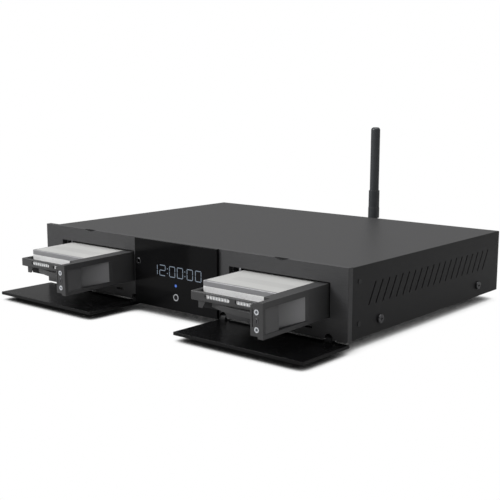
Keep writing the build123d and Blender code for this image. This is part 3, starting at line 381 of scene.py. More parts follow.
@dataclass(frozen=True)
class Brushed(Finish):
    """Bare metal with long fine lines along one axis."""

    def pattern(self, graph: Graph, colour: Wire | Colour, height: Wire) -> tuple[Wire | Colour, Wire]:
        """Darken the metal along its brush lines.

        Args:
            graph: The graph of the material.
            colour: The plain colour.
            height: The grain's height.

        Returns:
            The colour and height with the lines.
        """
        dark = tuple(c * 0.82 for c in self.colour)
        return graph.mix(height.ramp(0.35, 0.75), colour, dark), height


@dataclass(frozen=True)
class Speckled(Finish):
    """Cast metal with small pits."""

    def pattern(self, graph: Graph, colour: Wire | Colour, height: Wire) -> tuple[Wire | Colour, Wire]:
        """Sink small pits into the surface.

        Args:
            graph: The graph of the material.
            colour: The plain colour.
            height: The grain's height.

        Returns:
            The colour and height with the pits.
        """
        pits = graph.noise(graph.place(), 900.0, 1.0).ramp(0.60, 0.70)
        dark = tuple(c * 0.72 for c in self.colour)
        return graph.mix(pits * 0.6, colour, dark), height - pits


@dataclass(frozen=True)
class Paper(Finish):
    """A pale drive label with soft grey smudges and thin plain rules."""

    centre: Point = (0.0082, -0.10105, 0.0)  # half way between the two drives
    apart: float = 0.1325  # from there to the middle of each drive

    def pattern(self, graph: Graph, colour: Wire | Colour, height: Wire) -> tuple[Wire | Colour, Wire]:
        """Lay soft grey panels, smudges and a few thin rules over the paper.

        Args:
            graph: The graph of the material.
            colour: The plain colour.
            height: The grain's height.

        Returns:
            The colour and height of the label.
        """
        spot = graph.place(self.centre)
        x, y = abs(graph.axis(spot, "X")) - self.apart, graph.axis(spot, "Y")
        across = 1 - abs(x - 0.004).ramp(0.036, 0.0365)
        panel = across * (1 - abs(y - 0.030).ramp(0.022, 0.0225))
        band = across * (1 - abs(y + 0.048).ramp(0.007, 0.0072))
        rules = (y * 240.0).fraction().above(0.80) * (1 - abs(x).ramp(0.030, 0.031))
        rules = rules * (1 - abs(y + 0.012).ramp(0.017, 0.0175))
        smudge = graph.noise(spot, 90.0, 4.0).ramp(0.45, 0.62) * panel
        ink = panel * 0.08 + smudge * 0.80 + band * 0.12 + rules * 0.18
        return graph.mix(ink, colour, (0.17, 0.175, 0.18)), height


@dataclass(frozen=True)
class Swept(Finish):
    """Moulding whose colour brightens towards the back: painted light, standing in for the light it catches
    there.
    """

    start: float = -0.19215
    end: float = -0.15055
    gain: float = 3.0

    def pattern(self, graph: Graph, colour: Wire | Colour, height: Wire) -> tuple[Wire | Colour, Wire]:
        """Brighten the colour along Y: painted light.

        Args:
            graph: The graph of the material.
            colour: The plain colour.
            height: The grain's height.

        Returns:
            The colour and height with the sweep.
        """
        # painted light: the colour grows brighter towards the back
        along = graph.axis(graph.place(), "Y").ramp(self.start, self.end)
        return graph.mix(along, colour, tuple(c * self.gain for c in self.colour)), height


@dataclass(frozen=True)
class BoardMask(Finish):
    """Circuit board with tracks under the solder mask and small bright pads."""

    def pattern(self, graph: Graph, colour: Wire | Colour, height: Wire) -> tuple[Wire | Colour, Wire]:
        """Draw tracks and pads.

        Args:
            graph: The graph of the material.
            colour: The plain colour.
            height: The grain's height.

        Returns:
            The colour and height with the tracks.
        """
        spot = graph.place()
        tracks = graph.add(
            "ShaderNodeTexBrick",
            {"offset": 0.37, "squash": 0.6},
            {"Vector": spot, "Scale": 130.0, "Mortar Size": 0.12, "Mortar Smooth": 0.1},
            "Fac",
        )
        cells = graph.add(
            "ShaderNodeTexVoronoi",
            {"distance": "CHEBYCHEV"},
            {"Vector": spot, "Scale": 210.0, "Randomness": 0.35},
        )
        pads = 1 - cells.ramp(0.10, 0.13)
        lighter = tuple(c * 1.9 for c in self.colour)
        colour = graph.mix(tracks, colour, lighter)
        return graph.mix(pads, colour, (0.45, 0.42, 0.34)), height + tracks + pads


@dataclass(frozen=True)
class Lamp:
    """A small lit plastic piece."""

    name: str
    colour: Colour
    glow: float
    dim: float = 0.3

    def build(self) -> bpy.types.Material:
        """Make the material.

        Returns:
            The material.
        """
        graph = Graph(bpy.data.materials.new(self.name))
        grain = graph.noise(graph.place(), 500.0, 2.0)
        lit = graph.tint(self.colour, 1 + (grain - 0.5) * 0.25)
        base = tuple(c * self.dim for c in self.colour)
        return graph.shade({
            "Base Color": graph.tint(base, 0.8 + grain * 0.4),
            "Roughness": 0.2 + grain * 0.15,
            "Emission Color": lit,
            "Emission Strength": self.glow,
            "Normal": graph.rounded(0.0003),
        })


class Kit(Enum):
    """Every finish of the object, by the record's material slot."""

    # the cover's faces that look up are painted lighter: a painted sheen of the light from above
    painted_steel = Finish("satin black powder coat", (0.015, 0.015, 0.016), 0.42, specular=0.22,
                           grain=2600.0, depth=0.00003, mottle=0.03, painted_top_light=0.040)
    front_metal = Brushed("satin black front plate", (0.062, 0.062, 0.064), 0.44, specular=0.30,
                          grain=2400.0, depth=0.000008, mottle=0.03, stretch=(0.03, 1.0, 1.0))
    door_metal = Finish("glossy black door", (0.0035, 0.0035, 0.0038), 0.26, specular=0.22, grain=900.0,
                        depth=0.000003, mottle=0.06, wear=0.8)
    black_glass = Finish("black window glass", (0.0068, 0.0068, 0.0072), 0.12, specular=0.07, grain=400.0,
                         depth=0.000001, mottle=0.05, wear=0.6)
    zinc_steel = Brushed("zinc plated sheet", (0.52, 0.52, 0.54), 0.34, metallic=1.0, grain=900.0,
                         depth=0.00001, stretch=(1.0, 0.06, 1.0))
    screw_steel = Finish("nickelled screw", (0.60, 0.60, 0.61), 0.25, metallic=1.0, grain=2500.0,
                         edge=0.0002)
    black_screw = Finish("black oxide screw", (0.02, 0.02, 0.021), 0.38, metallic=0.4, edge=0.0002)
    foot_plastic = Finish("moulded foot", (0.03, 0.03, 0.03), 0.55, specular=0.4, depth=0.00005)
    foot_rubber = Finish("foot rubber", (0.02, 0.02, 0.02), 0.85, specular=0.2, grain=700.0, depth=0.0001)
    tray_plastic = Finish("spark textured tray", (0.043, 0.043, 0.044), 0.42, specular=0.5, grain=2200.0,
                          depth=0.00005, mottle=0.12)
    # the scoop face's colour brightens towards the back: painted light
    scoop_plastic = Swept("smooth finger scoop", (0.130, 0.130, 0.133), 0.35, grain=2200.0, depth=0.00002,
                          mottle=0.06, gain=1.9)
    scoop_flat = Finish("finger scoop flat", (0.080, 0.080, 0.082), 0.38, grain=2200.0, mottle=0.05)
    inner_plastic = Finish("matt inner moulding", (0.014, 0.014, 0.015), 0.6, specular=0.3, depth=0.00004)
    lever_plastic = Finish("satin lever", (0.030, 0.030, 0.031), 0.36, specular=0.5, depth=0.00003)
    lock_metal = Finish("polished lock barrel", (0.12, 0.12, 0.125), 0.28, metallic=1.0, grain=1500.0,
                        edge=0.0002)
    light_ring = Finish("clear light pipe", (0.62, 0.64, 0.67), 0.22, specular=0.5, grain=600.0,
                        depth=0.00001, edge=0.0002)
    button_metal = Brushed("turned button", (0.045, 0.046, 0.05), 0.32, metallic=1.0, grain=2500.0,
                           edge=0.0002)
    blue_light = Lamp("lit blue diode", (0.10, 0.22, 0.75), 0.55)
    clock_light = Lamp("lit clock segments", (0.30, 0.36, 0.44), 0.66, 0.03)
    jack_metal = Finish("dark jack sleeve", (0.09, 0.09, 0.095), 0.3, metallic=1.0, edge=0.0003)
    drive_casting = Speckled("bare aluminium casting", (0.90, 0.90, 0.90), 0.45, metallic=0.1, grain=700.0,
                             depth=0.00004, mottle=0.06)
    drive_cover = Finish("satin drive cover", (0.30, 0.30, 0.31), 0.38, metallic=0.3, grain=1600.0,
                         depth=0.00002)
    drive_label = Paper("drive label", (0.47, 0.47, 0.46), 0.55, specular=0.35, grain=1200.0,
                        depth=0.00001, mottle=0.05, wear=0.0, edge=0.0001)
    circuit_board = BoardMask("green board", (0.012, 0.075, 0.030), 0.35, grain=1500.0, depth=0.00006,
                              mottle=0.10, wear=0.3)
    socket_metal = Brushed("stamped socket shell", (0.55, 0.55, 0.56), 0.3, metallic=1.0, grain=1100.0,
                           stretch=(1.0, 0.1, 1.0), edge=0.0003)
    socket_plastic = Finish("moulded socket", (0.018, 0.018, 0.018), 0.45, specular=0.5)
    sink_metal = Brushed("extruded heat sink", (0.50, 0.50, 0.52), 0.35, metallic=1.0, grain=700.0,
                         stretch=(1.0, 0.05, 1.0))
    grommet_rubber = Finish("soft isolator", (0.03, 0.03, 0.03), 0.8, specular=0.2, grain=600.0,
                            depth=0.0001)
    # painted light: a pale sheet stands in for the lit drive face seen through the bar's vents
    vent_plate = Finish("painted light behind vents", (0.95, 0.95, 0.95), 0.4, mottle=0.02)
    red_ring = Finish("red socket ring", (0.45, 0.02, 0.02), 0.4)
    white_ring = Finish("white socket ring", (0.70, 0.70, 0.68), 0.4)
    yellow_ring = Finish("yellow socket ring", (0.65, 0.42, 0.02), 0.4)
    capacitor_sleeve = Finish("capacitor sleeve", (0.015, 0.03, 0.09), 0.4, grain=900.0)
    chip_plastic = Finish("chip package", (0.012, 0.012, 0.013), 0.5, specular=0.3, grain=2500.0)
    contact_metal = Brushed("gilt contacts", (0.72, 0.52, 0.22), 0.3, metallic=1.0, grain=2000.0,
                            edge=0.0001)
    antenna_metal = Finish("gold plated thread", (0.75, 0.55, 0.22), 0.25, metallic=1.0, edge=0.0002)
    antenna_plastic = Finish("satin antenna sheath", (0.042, 0.046, 0.050), 0.34, specular=0.5,
                             grain=1500.0, depth=0.00003)

    @property
    def material(self) -> bpy.types.Material:
        """The finish's material, made when it is first asked for."""
        return bpy.data.materials.get(self.value.name) or self.value.build()


def dress(node: str, kit: Kit) -> None:
    """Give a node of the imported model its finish.

    Args:
        node: Name of the node.
        kit: The finish.
    """
    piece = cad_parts[node]
    piece.data.materials.clear()
    piece.data.materials.append(kit.material)
    LOG.info("dressed %s: %s", node, kit.value.name)


# ---------------------------------------------------------------- mesh helpers
class Shape:
    """A mesh that operators build up, in metres of the shared frame."""

    def __init__(self) -> None:
        """Start empty."""
        self.mesh = bmesh.new()

    def take(self, part: bmesh.types.BMesh, move: Matrix) -> None:
        """Add another mesh and free it.

        Args:
            part: The mesh.
            move: Where it goes.
        """
        bmesh.ops.transform(part, matrix=move, verts=part.verts)
        bmesh.ops.recalc_face_normals(part, faces=part.faces)
        data = bpy.data.meshes.new("part")
        part.to_mesh(data)
        part.free()
        self.mesh.from_mesh(data)
        bpy.data.meshes.remove(data)

    def block(self, low: Vector, high: Vector, round_by: float = 0.0, steps: int = 2) -> None:
        """Add a block between two corners.

        Args:
            low: Lowest corner.
            high: Highest corner.
            round_by: Radius of its edges.
            steps: Segments of each rounded edge.
        """
        part = bmesh.new()
        bmesh.ops.create_cube(part, size=1.0)
        size = high - low
        bmesh.ops.scale(part, vec=size, verts=part.verts)
        if round_by:
            bmesh.ops.bevel(part, geom=part.edges[:], offset=round_by, segments=steps, profile=0.5,
                            affect="EDGES", clamp_overlap=True, material=-1)
        self.take(part, Matrix.Translation((low + high) / 2))

    def lathe(self, outline: list[tuple[float, float]], foot: Vector, axis: Point, steps: int = 32) -> None:
        """Turn an outline round an axis.

        Args:
            outline: Radius and height of each point, in mm, from end to end.
            foot: Where height 0 lies.
            axis: Direction of growing height.
            steps: Number of facets.
        """
        part = bmesh.new()
        points = [part.verts.new((r / 1000, 0.0, h / 1000)) for r, h in outline]
        lines = [part.edges.new(pair) for pair in zip(points, points[1:])]
        bmesh.ops.spin(part, geom=points + lines, cent=(0, 0, 0), axis=(0, 0, 1), angle=2 * math.pi,
                       steps=steps, use_merge=True)
        bmesh.ops.remove_doubles(part, verts=part.verts, dist=1e-7)
        turn = Vector((0, 0, 1)).rotation_difference(Vector(axis)).to_matrix().to_4x4()
        self.take(part, Matrix.Translation(foot) @ turn)

    def prism(self, outline: list[Vector], rise: Vector) -> None:
        """Add a prism over a flat outline.

        Args:
            outline: Corners of its foot, in order.
            rise: Way from the foot to the top.
        """
        part = bmesh.new()
        foot = part.faces.new([part.verts.new(corner) for corner in outline])
        made = bmesh.ops.extrude_face_region(part, geom=[foot])["geom"]
        raised = [item for item in made if isinstance(item, bmesh.types.BMVert)]
        bmesh.ops.translate(part, vec=rise, verts=raised)
        self.take(part, Matrix())

    def bar(self, start: Vector, end: Vector, width: float, thick: float) -> None:
        """Add a flat pointed bar that faces -Y, such as one segment of a digit.

        Args:
            start: One tip.
            end: The other tip.
            width: Width of the bar.
            thick: Its thickness along Y.
        """
        part = bmesh.new()
        radius = width / math.sqrt(3)
        bmesh.ops.create_circle(part, cap_ends=True, segments=6, radius=radius)
        stretch = (end - start).length / 2 - radius
        for sign in (-1, 1):
            tip = [vert for vert in part.verts if vert.co.y * sign > 0]
            bmesh.ops.translate(part, vec=(0, sign * stretch, 0), verts=tip)
        made = bmesh.ops.extrude_face_region(part, geom=part.faces[:])["geom"]
        raised = [item for item in made if isinstance(item, bmesh.types.BMVert)]
        bmesh.ops.translate(part, vec=(0, 0, thick), verts=raised)
        way, out = (end - start).normalized(), Vector((0, -1, 0))
        turn = Matrix((way.cross(out), way, out)).transposed().to_4x4()
        self.take(part, Matrix.Translation((start + end) / 2) @ turn)

    def done(self, name: str, body: str, slot: str, kit: Kit, smooth: bool = True) -> bpy.types.Object:
        """Turn the shape into a finished piece of the scene.

        Args:
            name: Name of the piece.
            body: Body that it rides on.
            slot: Material slot of the record; not used.
            kit: Its finish.
            smooth: Whether curved faces are shaded smooth.

        Returns:
            The piece.
        """
        data = bpy.data.meshes.new(name)
        self.mesh.to_mesh(data)
        self.mesh.free()
        if smooth:
            data.polygons.foreach_set("use_smooth", [True] * len(data.polygons))
            data.set_sharp_from_angle(angle=math.radians(35))
        data.materials.append(kit.material)
        piece = bpy.data.objects.new(name, data)
        bpy.context.scene.collection.objects.link(piece)
        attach(piece, body)
        LOG.info("made %s on %s: %d faces", name, body, len(data.polygons))
        return piece


# ---------------------------------------------------------------- studio
@dataclass
class Studio:
    """Camera, lamps, floor and background."""

    place: Point = (0.6818, -0.80375, 0.2392)
    yaw: float = 40.26
    pitch: float = 9.72
    roll: float = -0.10
    lens: float = 66.41
    ambient: float = 0.30
    shadow_reach: float = 0.024  # metres round the object that its painted shadow covers
    floor_size: float = 9.0

    def camera(self) -> None:
        """Stand the camera where the photograph was taken from."""
        yaw, pitch = math.radians(self.yaw), math.radians(self.pitch)
        ahead = Vector((-math.sin(yaw) * math.cos(pitch), math.cos(yaw) * math.cos(pitch), -math.sin(pitch)))
        right = Vector((math.cos(yaw), math.sin(yaw), 0.0))
        right.rotate(Matrix.Rotation(math.radians(self.roll), 3, ahead))
        up = right.cross(ahead)
        data = bpy.data.cameras.new("camera")
        data.lens = self.lens
        data.sensor_width = 36.0
        data.clip_end = 50.0
        camera = bpy.data.objects.new("camera", data)
        camera.matrix_world = Matrix.Translation(self.place) @ Matrix((right, up,
                                                                       -ahead)).transposed().to_4x4()
        bpy.context.scene.collection.objects.link(camera)
        bpy.context.scene.camera = camera

    def lamp(self, name: str, place: Point, aim: Point, size: float, power: float) -> None:
        """Hang a soft square lamp.

        Args:
            name: Name of the lamp.
            place: Where it hangs.
            aim: What it points at.
            size: Length of its side.
            power: Its power in watts.
        """
        data = bpy.data.lights.new(name, "AREA")
        data.size = size
        data.energy = power
        lamp = bpy.data.objects.new(name, data)
        way = Vector(aim) - Vector(place)
        lamp.matrix_world = Matrix.Translation(place) @ way.to_track_quat("-Z", "Y").to_matrix().to_4x4()
        bpy.context.scene.collection.objects.link(lamp)

    def surroundings(self) -> None:
        """Surround the object with white for the eye and a softer ambient light."""
        graph = Graph(bpy.data.worlds.new("surroundings"))
        seen = graph.add("ShaderNodeLightPath", output="Is Camera Ray")
        tone = graph.mix(seen, (self.ambient, self.ambient, self.ambient), (1.0, 1.0, 1.0))
        back = graph.add("ShaderNodeBackground", None, {"Color": tone})
        graph.add("ShaderNodeOutputWorld", None, {"Surface": back})
        bpy.context.scene.world = graph.owner

    def ground(self) -> None:
        """Lay a pale floor whose white, for the eye, is darkened round the object by ambient occlusion, a
        painted shadow, and stays white far away.
        """
        graph = Graph(bpy.data.materials.new("pale floor"))
        seen = graph.add("ShaderNodeLightPath", output="Is Camera Ray")
        spot = graph.place(centre=(0.05, 0.0, 0.0))
        grain = graph.noise(spot, 300.0)
        matt = graph.add("ShaderNodeBsdfDiffuse", None, {"Color": graph.tint((0.45, 0.45, 0.45),
                                                                             0.99 + grain * 0.02)})
        # painted shadow: the white seen by the camera darkens where ambient occlusion finds the object near
        open_sky = graph.add("ShaderNodeAmbientOcclusion", {"samples": 12}, {"Distance": self.shadow_reach},
                             "AO")
        glow = graph.mix(open_sky.ramp(0.20, 0.72), (0.004, 0.004, 0.004), (1.0, 1.0, 1.0))
        white = graph.add("ShaderNodeEmission", None, {"Color": glow, "Strength": 1.0})
        fade = graph.add("ShaderNodeMixShader", None, {0: seen, 1: matt, 2: white})
        material = graph.end(fade)
        sheet = bmesh.new()
        bmesh.ops.create_grid(sheet, x_segments=2, y_segments=2, size=self.floor_size / 2)
        bmesh.ops.translate(sheet, vec=(0, 0, -0.0001), verts=sheet.verts)
        data = bpy.data.meshes.new("floor")
        sheet.to_mesh(data)
        sheet.free()
        data.materials.append(material)
        floor = bpy.data.objects.new("floor", data)
        bpy.context.scene.collection.objects.link(floor)

    def build(self) -> None:
        """Set up everything round the object."""
        self.camera()
        self.surroundings()
        self.ground()
        self.lamp("key", (-1.3, -1.5, 1.5), (0, 0, 0), 1.2, 46.0)
        self.lamp("overhead", (0.2, 0.1, 2.0), (0, 0, 0), 1.8, 27.0)
        bpy.context.scene.view_settings.view_transform = "Standard"
        LOG.info("studio ready")


# ---------------------------------------------------------------- sub-assemblies
@dataclass
class Case:
    """Cover, pan, rear panel, brackets, screws and feet."""

    foot_spots: tuple[tuple[float, float], ...] = ((-160, 52), (160, 52), (-160, 268), (160, 268))

    def build(self) -> None:
        """Dress the case and ring its feet."""
        for node in ("base_pan", "top_cover", "rear_panel"):
            dress(node, Kit.painted_steel)
        dress("front_brackets", Kit.zinc_steel)
        dress("cover_screws", Kit.black_screw)
        dress("side_screws", Kit.lock_metal)
        dress("feet", Kit.foot_plastic)
        dress("foot_pads", Kit.foot_rubber)
        rings = Shape()
        for x, y in self.foot_spots:
            for height in (3.2, 5.2):
                rings.lathe([(17.6, height - 0.5), (18.3, height - 0.3), (18.3, height + 0.3),
                             (17.6, height + 0.5)], at(x, y, -9), (0, 0, 1), 48)
        rings.done("foot_rings", "case", "foot_plastic", Kit.foot_plastic)


@dataclass
class Clock:
    """Seven-segment figures on the window."""

    low: float = 35.5
    high: float = 47.4
    stroke: float = 0.8
    plane: float = -3.2
    figures: tuple[tuple[str, float, float], ...] = (
        ("1", -26.7, -25.4), ("2", -22.6, -13.3), ("0", -7.7, 1.1), ("0", 3.9, 12.7), ("0", 18.3, 27.1),
        ("0", 30.4, 39.2),
    )
    colons: tuple[float, ...] = (-10.5, 15.5)
    lit: tuple[tuple[str, str], ...] = (("1", "bc"), ("2", "abged"), ("0", "abcdef"))

    def segment(self, shape: Shape, letter: str, left: float, right: float) -> None:
        """Add one segment of a figure.

        Args:
            shape: The shape that takes it.
            letter: Which segment, a to g.
            left: The figure's left edge in mm.
            right: The figure's right edge in mm.
        """
        half, gap = self.stroke / 2, 0.25
        x0, x1 = left + half, right - half
        z0, z1 = self.low + half, self.high - half
        middle = (z0 + z1) / 2
        ends = {
            "a": (x0 + gap, z1, x1 - gap, z1), "g": (x0 + gap, middle, x1 - gap, middle),
            "d": (x0 + gap, z0, x1 - gap, z0), "f": (x0, middle + gap, x0, z1 - gap),
            "b": (x1, middle + gap, x1, z1 - gap), "e": (x0, z0 + gap, x0, middle - gap),
            "c": (x1, z0 + gap, x1, middle - gap),
        }[letter]
        shape.bar(at(ends[0], self.plane, ends[1]), at(ends[2], self.plane, ends[3]),
                  self.stroke / 1000, 0.00002)

    def build(self) -> None:
        """Make the figures and colons."""
        shape = Shape()
        patterns = dict(self.lit)
        for figure, left, right in self.figures:
            for letter in patterns[figure]:
                self.segment(shape, letter, left, right)
        shape.done("clock_figures", "case", "clock_light", Kit.clock_light, smooth=False)
        dots = Shape()
        for x in self.colons:
            for z in (38.9, 43.9):
                dots.lathe([(0, 0.02), (0.6, 0.02), (0.6, 0)], at(x, self.plane, z), (0, -1, 0), 16)
        dots.done("clock_colons", "case", "clock_light", Kit.clock_light, smooth=False)


@dataclass
class FrontPanel:
    """Front plate, window, clock and controls."""

    jack: tuple[float, float] = (-55.3, 47.2)
    notches: tuple[float, ...] = (-140.8, 140.8)

    def notch_shade_sheets(self) -> None:
        """Put dark sheets in the finger notches over the doors: painted shade inside the recesses."""
        shape = Shape()
        radius = 19.06
        # dark sheets in the notches: painted shade of the recesses
        for x in self.notches:
            arc = [math.radians(-90 + i * 4.4) for i in range(-6, 7)]
            outline = [at(x + (radius - 0.02) * math.cos(a), 3.4,
                          71.0 + radius + (radius - 0.02) * math.sin(a))
                       for a in arc]
            shape.prism(outline, Vector((0, 0.00005, 0)))
            inner = [at(x + (radius - 0.05) * math.cos(a), 0.1,
                        71.0 + radius + (radius - 0.05) * math.sin(a))
                     for a in arc]
            for first, second in zip(inner, inner[1:]):
                shape.prism([first, second, second + Vector((0, 0, 0.00004)), first + Vector((0, 0,
                                                                                              0.00004))],
                            Vector((0, 0.0033, 0)))
        shape.done("notch_shade_sheets", "case", "inner_plastic", Kit.inner_plastic, False)

    def build(self) -> None:
        """Dress the front and add the clock's figures and the jack's rim."""
        dress("front_panel", Kit.front_metal)
        dress("display_window", Kit.black_glass)
        dress("display_carrier", Kit.inner_plastic)
        dress("clock_display", Kit.clock_light)
        dress("display_board", Kit.circuit_board)
        dress("power_ring", Kit.light_ring)
        dress("power_button", Kit.button_metal)
        dress("status_light", Kit.blue_light)
        dress("headphone_jack", Kit.jack_metal)
        Clock().build()
        self.notch_shade_sheets()
        x, z = self.jack
        collar = Shape()
        collar.lathe([(2.0, 0.0), (1.9, 0.25), (2.2, 0.45), (3.2, 0.45), (3.6, 0.2), (3.6, 0.0)],
                     at(x, -3.2, z), (0, -1, 0), 32)
        collar.done("jack_collar", "case", "jack_metal", Kit.jack_metal)


@dataclass
class Doors:
    """The two fold-down doors with knuckles, brackets and pins."""

    def build(self) -> None:
        """Dress the doors and their hinges."""
        for side in BAYS:
            dress(f"door_{side}", Kit.door_metal)
            dress(f"door_knuckles_{side}", Kit.inner_plastic)
        dress("hinge_brackets", Kit.inner_plastic)
        dress("hinge_pins", Kit.screw_steel)


@dataclass
class Tray:
    """One drive tray with its bar, lever, lock and lights."""

    side: str
    droop: float = 1.2  # degrees that the tray hangs down at the front
    vents: tuple[float, ...] = (-18.8, 18.9)
    vent_low: float = 40.3
    vent_high: float = 44.3
    vent_half: float = 15.3  # half the length of a vent's pale sheet of painted light
    rib_pitch: float = 3.6
    rib_half: float = 0.22
    wall_corners: tuple[tuple[float, float], ...] = ((-47.6, 28.2), (46.5, 28.2), (46.5, 37.3), (-47.6, 37.3))
    scoop_front: float = -91.5
    scoop_divide: float = -72.7
    scoop_top: float = 49.9

    def leaned(self, x: float, y: float, z: float) -> Vector:
        """Turn a place in the level tray into metres of the shared frame.

        Args:
            x: Millimetres to the right of the slot's middle.
            y: Millimetres behind the front face of the panel.
            z: Millimetres above the panel's lower edge.

        Returns:
            The place on the drooping tray.
        """
        cos, sin = math.cos(math.radians(self.droop)), math.sin(math.radians(self.droop))
        return at(BAYS[self.side] + x, y * cos - (z - 40) * sin, 40 + y * sin + (z - 40) * cos)

    def grilles(self) -> None:
        """Set a pale sheet with thin upright ribs behind each of the bar's vents; the sheet is painted light,
        standing in for the lit drive face seen through the vents.
        """
        light_sheets, ribs = Shape(), Shape()
        for middle in self.vents:
            # the pale sheet is painted light for the lit drive face behind the vent
            light_sheets.block(self.leaned(middle - self.vent_half, -64.9, self.vent_low),
                         self.leaned(middle + self.vent_half, -63.5, self.vent_high))
            for i in range(-3, 4):
                x = middle + i * self.rib_pitch
                ribs.block(self.leaned(x - self.rib_half, -65.5, self.vent_low),
                           self.leaned(x + self.rib_half, -64.8, self.vent_high))
        body = f"tray_{self.side}"
        light_sheets.done(f"vent_light_sheets_{self.side}", body, "light_ring", Kit.vent_plate, False)
        ribs.done(f"vent_ribs_{self.side}", body, "light_ring", Kit.light_ring, False)

    def front_wall(self) -> None:
        """Stand the low wall that stops the drive, behind the lever."""
        wall = Shape()
        wall.prism([self.leaned(x, -55.9, z) for x, z in self.wall_corners],
                   self.leaned(0, -55.1, 40) - self.leaned(0, -55.9, 40))
        wall.done(f"tray_wall_{self.side}", f"tray_{self.side}", "inner_plastic", Kit.inner_plastic, False)

    def scoop(self) -> None:
        """Line the finger scoop: a smooth slanted floor, whose colour brightens towards the back as painted
        light, and a dark sheet below it, painted shadow on the bottom shelf.
        """
        flat, face, shade_sheet = Shape(), Shape(), Shape()
        skin = Vector((0.00005, 0, 0))
        ends = ((self.scoop_front, 27.1), (self.scoop_front, self.scoop_top),
                (self.scoop_divide, self.scoop_top), (self.scoop_divide, 27.1))
        flat.prism([self.leaned(59.5, y, z) for y, z in ends], skin)
        face.prism([self.leaned(56.05, -72.5, z) for z in (27.6, self.scoop_top)]
                   + [self.leaned(60.2, -31.4, z) for z in (self.scoop_top, 27.6)], skin)
        # dark sheet on the bottom shelf: painted shadow
        shade_sheet.prism([self.leaned(56.1, -72.5, 27.05), self.leaned(60.25, -72.5, 27.05),
                     self.leaned(60.25, -31.4, 27.05)], Vector((0, 0, 0.0004)))
        body = f"tray_{self.side}"
        flat.done(f"scoop_flat_{self.side}", body, "tray_plastic", Kit.scoop_flat, False)
        face.done(f"scoop_face_{self.side}", body, "tray_plastic", Kit.scoop_plastic, False)
        shade_sheet.done(f"scoop_shade_sheet_{self.side}", body, "tray_plastic", Kit.inner_plastic, False)

    def build(self) -> None:
        """Dress the tray."""
        self.grilles()
        self.front_wall()
        self.scoop()
        for part, kit in (
            ("tray_frame", Kit.tray_plastic), ("tray_bar", Kit.tray_plastic), ("tray_lever",
                                                                               Kit.lever_plastic),
            ("tray_lock", Kit.lock_metal), ("tray_lights", Kit.light_ring),
        ):
            dress(f"{part}_{self.side}", kit)


@dataclass
class Drive:
    """One 3.5 inch drive."""

    side: str

    def build(self) -> None:
        """Dress the drive."""
        for part, kit in (
            ("drive_base", Kit.drive_casting), ("drive_cover", Kit.drive_cover), ("drive_label",
                                                                                  Kit.drive_label),
            ("drive_board", Kit.circuit_board), ("rack_cage", Kit.zinc_steel),
        ):
            dress(f"{part}_{self.side}", kit)


@dataclass
class Inside:
    """Racks' fittings, circuit boards and heat sink."""

    board: float = 12.3  # top of the circuit boards above the panel's lower edge
    capacitors: tuple[tuple[float, float, float, float], ...] = (
        (-180, 263.3, 9.2, 30.1), (-188, 229.3, 5.2, 20.1), (-172, 229.3, 5.2, 20.1), (-156, 229.3, 5.2,
                                                                                       20.1),
        (-66, 293, 4.0, 9), (-60, 283, 3.2, 8), (62, 296, 3.2, 8), (70, 296, 3.2, 8), (-66, 229, 4.0, 10),
        (115, 234, 4.0, 10),
    )
    chips: tuple[tuple[float, float, float, float, float], ...] = (
        (-45, 252.3, 12.4, 14.4, 1.4), (-25, 252.3, 12.4, 14.4, 1.4), (75, 252.3, 12.4, 14.4, 1.4),
        (95, 252.3, 12.4, 14.4, 1.4), (-4, 228, 8, 8, 1.2), (34, 226, 10, 6, 1.2), (60, 240, 5, 7, 1.1),
        (-34, 232, 6, 6, 1.1), (88, 228, 14, 8, 1.3), (50, 300, 6, 4, 1.1),
    )

    def capacitor_cans(self) -> None:
        """Stand capacitors with a groove round the foot and a sunken top on the boards."""
        sleeves, tops = Shape(), Shape()
        for x, y, radius, high in self.capacitors:
            foot = at(x, y, self.board)
            sleeves.lathe([(radius, 0), (radius, 1.0), (radius - 0.25, 1.3), (radius - 0.25, 1.8), (radius,
                                                                                                    2.1),
                           (radius, high - 0.3), (radius - 0.3, high), (radius - 1.0, high),
                           (radius - 1.0, high - 0.2)], foot, (0, 0, 1), 28)
            tops.lathe([(radius - 1.0, high - 0.1), (0, high - 0.1)], foot, (0, 0, 1), 28)
        sleeves.done("capacitor_sleeves", "case", "socket_plastic", Kit.capacitor_sleeve)
        tops.done("capacitor_tops", "case", "sink_metal", Kit.sink_metal)

    def chip_packages(self) -> None:
        """Lay chips with rows of legs."""
        bodies, legs = Shape(), Shape()
        for x, y, wide, deep, high in self.chips:
            low = at(x - wide / 2, y - deep / 2, self.board + 0.1)
            bodies.block(low, at(x + wide / 2, y + deep / 2, self.board + high + 0.1), 0.00015, 1)
            count = int(deep / 1.27)
            for i in range(count):
                along = y - deep / 2 + (i + 0.5) * deep / count
                for way in (-1, 1):
                    end = x + way * (wide / 2 + 0.45)
                    legs.block(at(end - 0.45, along - 0.2, self.board), at(end + 0.45, along + 0.2,
                               self.board + 0.3))
        bodies.done("chip_packages", "case", "socket_plastic", Kit.chip_plastic, False)
        legs.done("chip_legs", "case", "socket_metal", Kit.socket_metal, False)

    def build(self) -> None:
        """Dress what stands inside the case."""
        self.capacitor_cans()
        self.chip_packages()
        dress("rack_guides", Kit.inner_plastic)
        dress("rack_isolators", Kit.grommet_rubber)
        dress("backplanes", Kit.circuit_board)
        dress("mainboard", Kit.circuit_board)
        dress("power_supply", Kit.circuit_board)
        dress("heat_sink", Kit.sink_metal)


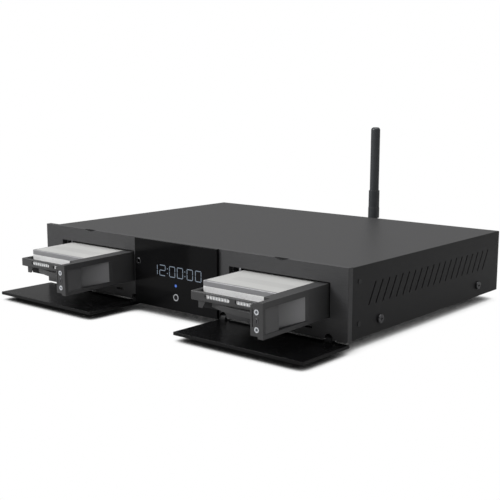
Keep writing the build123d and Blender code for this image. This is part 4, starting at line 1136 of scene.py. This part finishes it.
@dataclass
class Rear:
    """Sockets, switch and antenna."""

    panel: float = 315.1  # outer face of the rear panel behind the front panel's face
    rings: tuple[tuple[float, Kit], ...] = (
        (86.0, Kit.yellow_ring), (102.0, Kit.white_ring), (118.0, Kit.red_ring),
    )
    whip: tuple[float, float] = (35.5, 327.5)

    def audio_rings(self) -> None:
        """Put coloured washers and bright sleeves on the audio sockets."""
        for i, (x, kit) in enumerate(self.rings):
            washer, sleeve = Shape(), Shape()
            washer.lathe([(4.15, 0), (5.6, 0), (5.6, 1.0), (5.3, 1.3), (4.15, 1.3)], at(x, self.panel, 22.0),
                         (0, 1, 0), 32)
            washer.done(f"audio_washer_{i}", "case", "socket_plastic", kit)
            sleeve.lathe([(4.16, 1.3), (4.3, 1.5), (4.3, 8.6), (4.1, 8.9), (2.9, 8.9), (2.9, 8.7)],
                         at(x, self.panel, 22.0), (0, 1, 0), 32)
            sleeve.done(f"audio_sleeve_{i}", "case", "socket_metal", Kit.socket_metal)

    def contacts(self) -> None:
        """Line the network and data sockets with contacts."""
        shape = Shape()
        for i in range(8):
            x = -20 + (i - 3.5) * 1.27
            shape.block(at(x - 0.25, self.panel - 12, 23.2), at(x + 0.25, self.panel - 1, 23.7))
        for i in range(4):
            x = 8 + (i - 1.5) * 2.5
            shape.block(at(x - 0.5, self.panel - 12, 16.0), at(x + 0.5, self.panel - 1, 16.3))
        shape.done("socket_contacts", "case", "antenna_metal", Kit.contact_metal, False)

    def antenna_rings(self) -> None:
        """Put rings on the whip."""
        x, y = self.whip
        shape = Shape()
        for height in (72.5, 75.0, 77.5):
            shape.lathe([(6.9, height - 0.5), (7.15, height - 0.3), (7.15, height + 0.3), (6.9,
                                                                                           height + 0.5)],
                        at(x, y, 0), (0, 0, 1), 32)
        shape.done("antenna_rings", "antenna_whip", "antenna_plastic", Kit.antenna_plastic)

    def build(self) -> None:
        """Dress the sockets and the antenna."""
        self.audio_rings()
        self.contacts()
        self.antenna_rings()
        for node in ("video_socket", "network_socket", "data_socket"):
            dress(node, Kit.socket_metal)
        for node in ("power_inlet", "switch_frame", "audio_sockets", "power_rocker"):
            dress(node, Kit.socket_plastic)
        dress("antenna_socket", Kit.antenna_metal)
        dress("antenna_elbow", Kit.antenna_plastic)
        dress("antenna_whip", Kit.antenna_plastic)


def main() -> None:
    """Build every sub-assembly in order."""
    logging.basicConfig(level=logging.INFO, format="%(name)s: %(message)s")
    Studio().build()
    Case().build()
    FrontPanel().build()
    Doors().build()
    for side in BAYS:
        Tray(side).build()
        Drive(side).build()
    Inside().build()
    Rear().build()


if __name__ == "__main__":
    main()
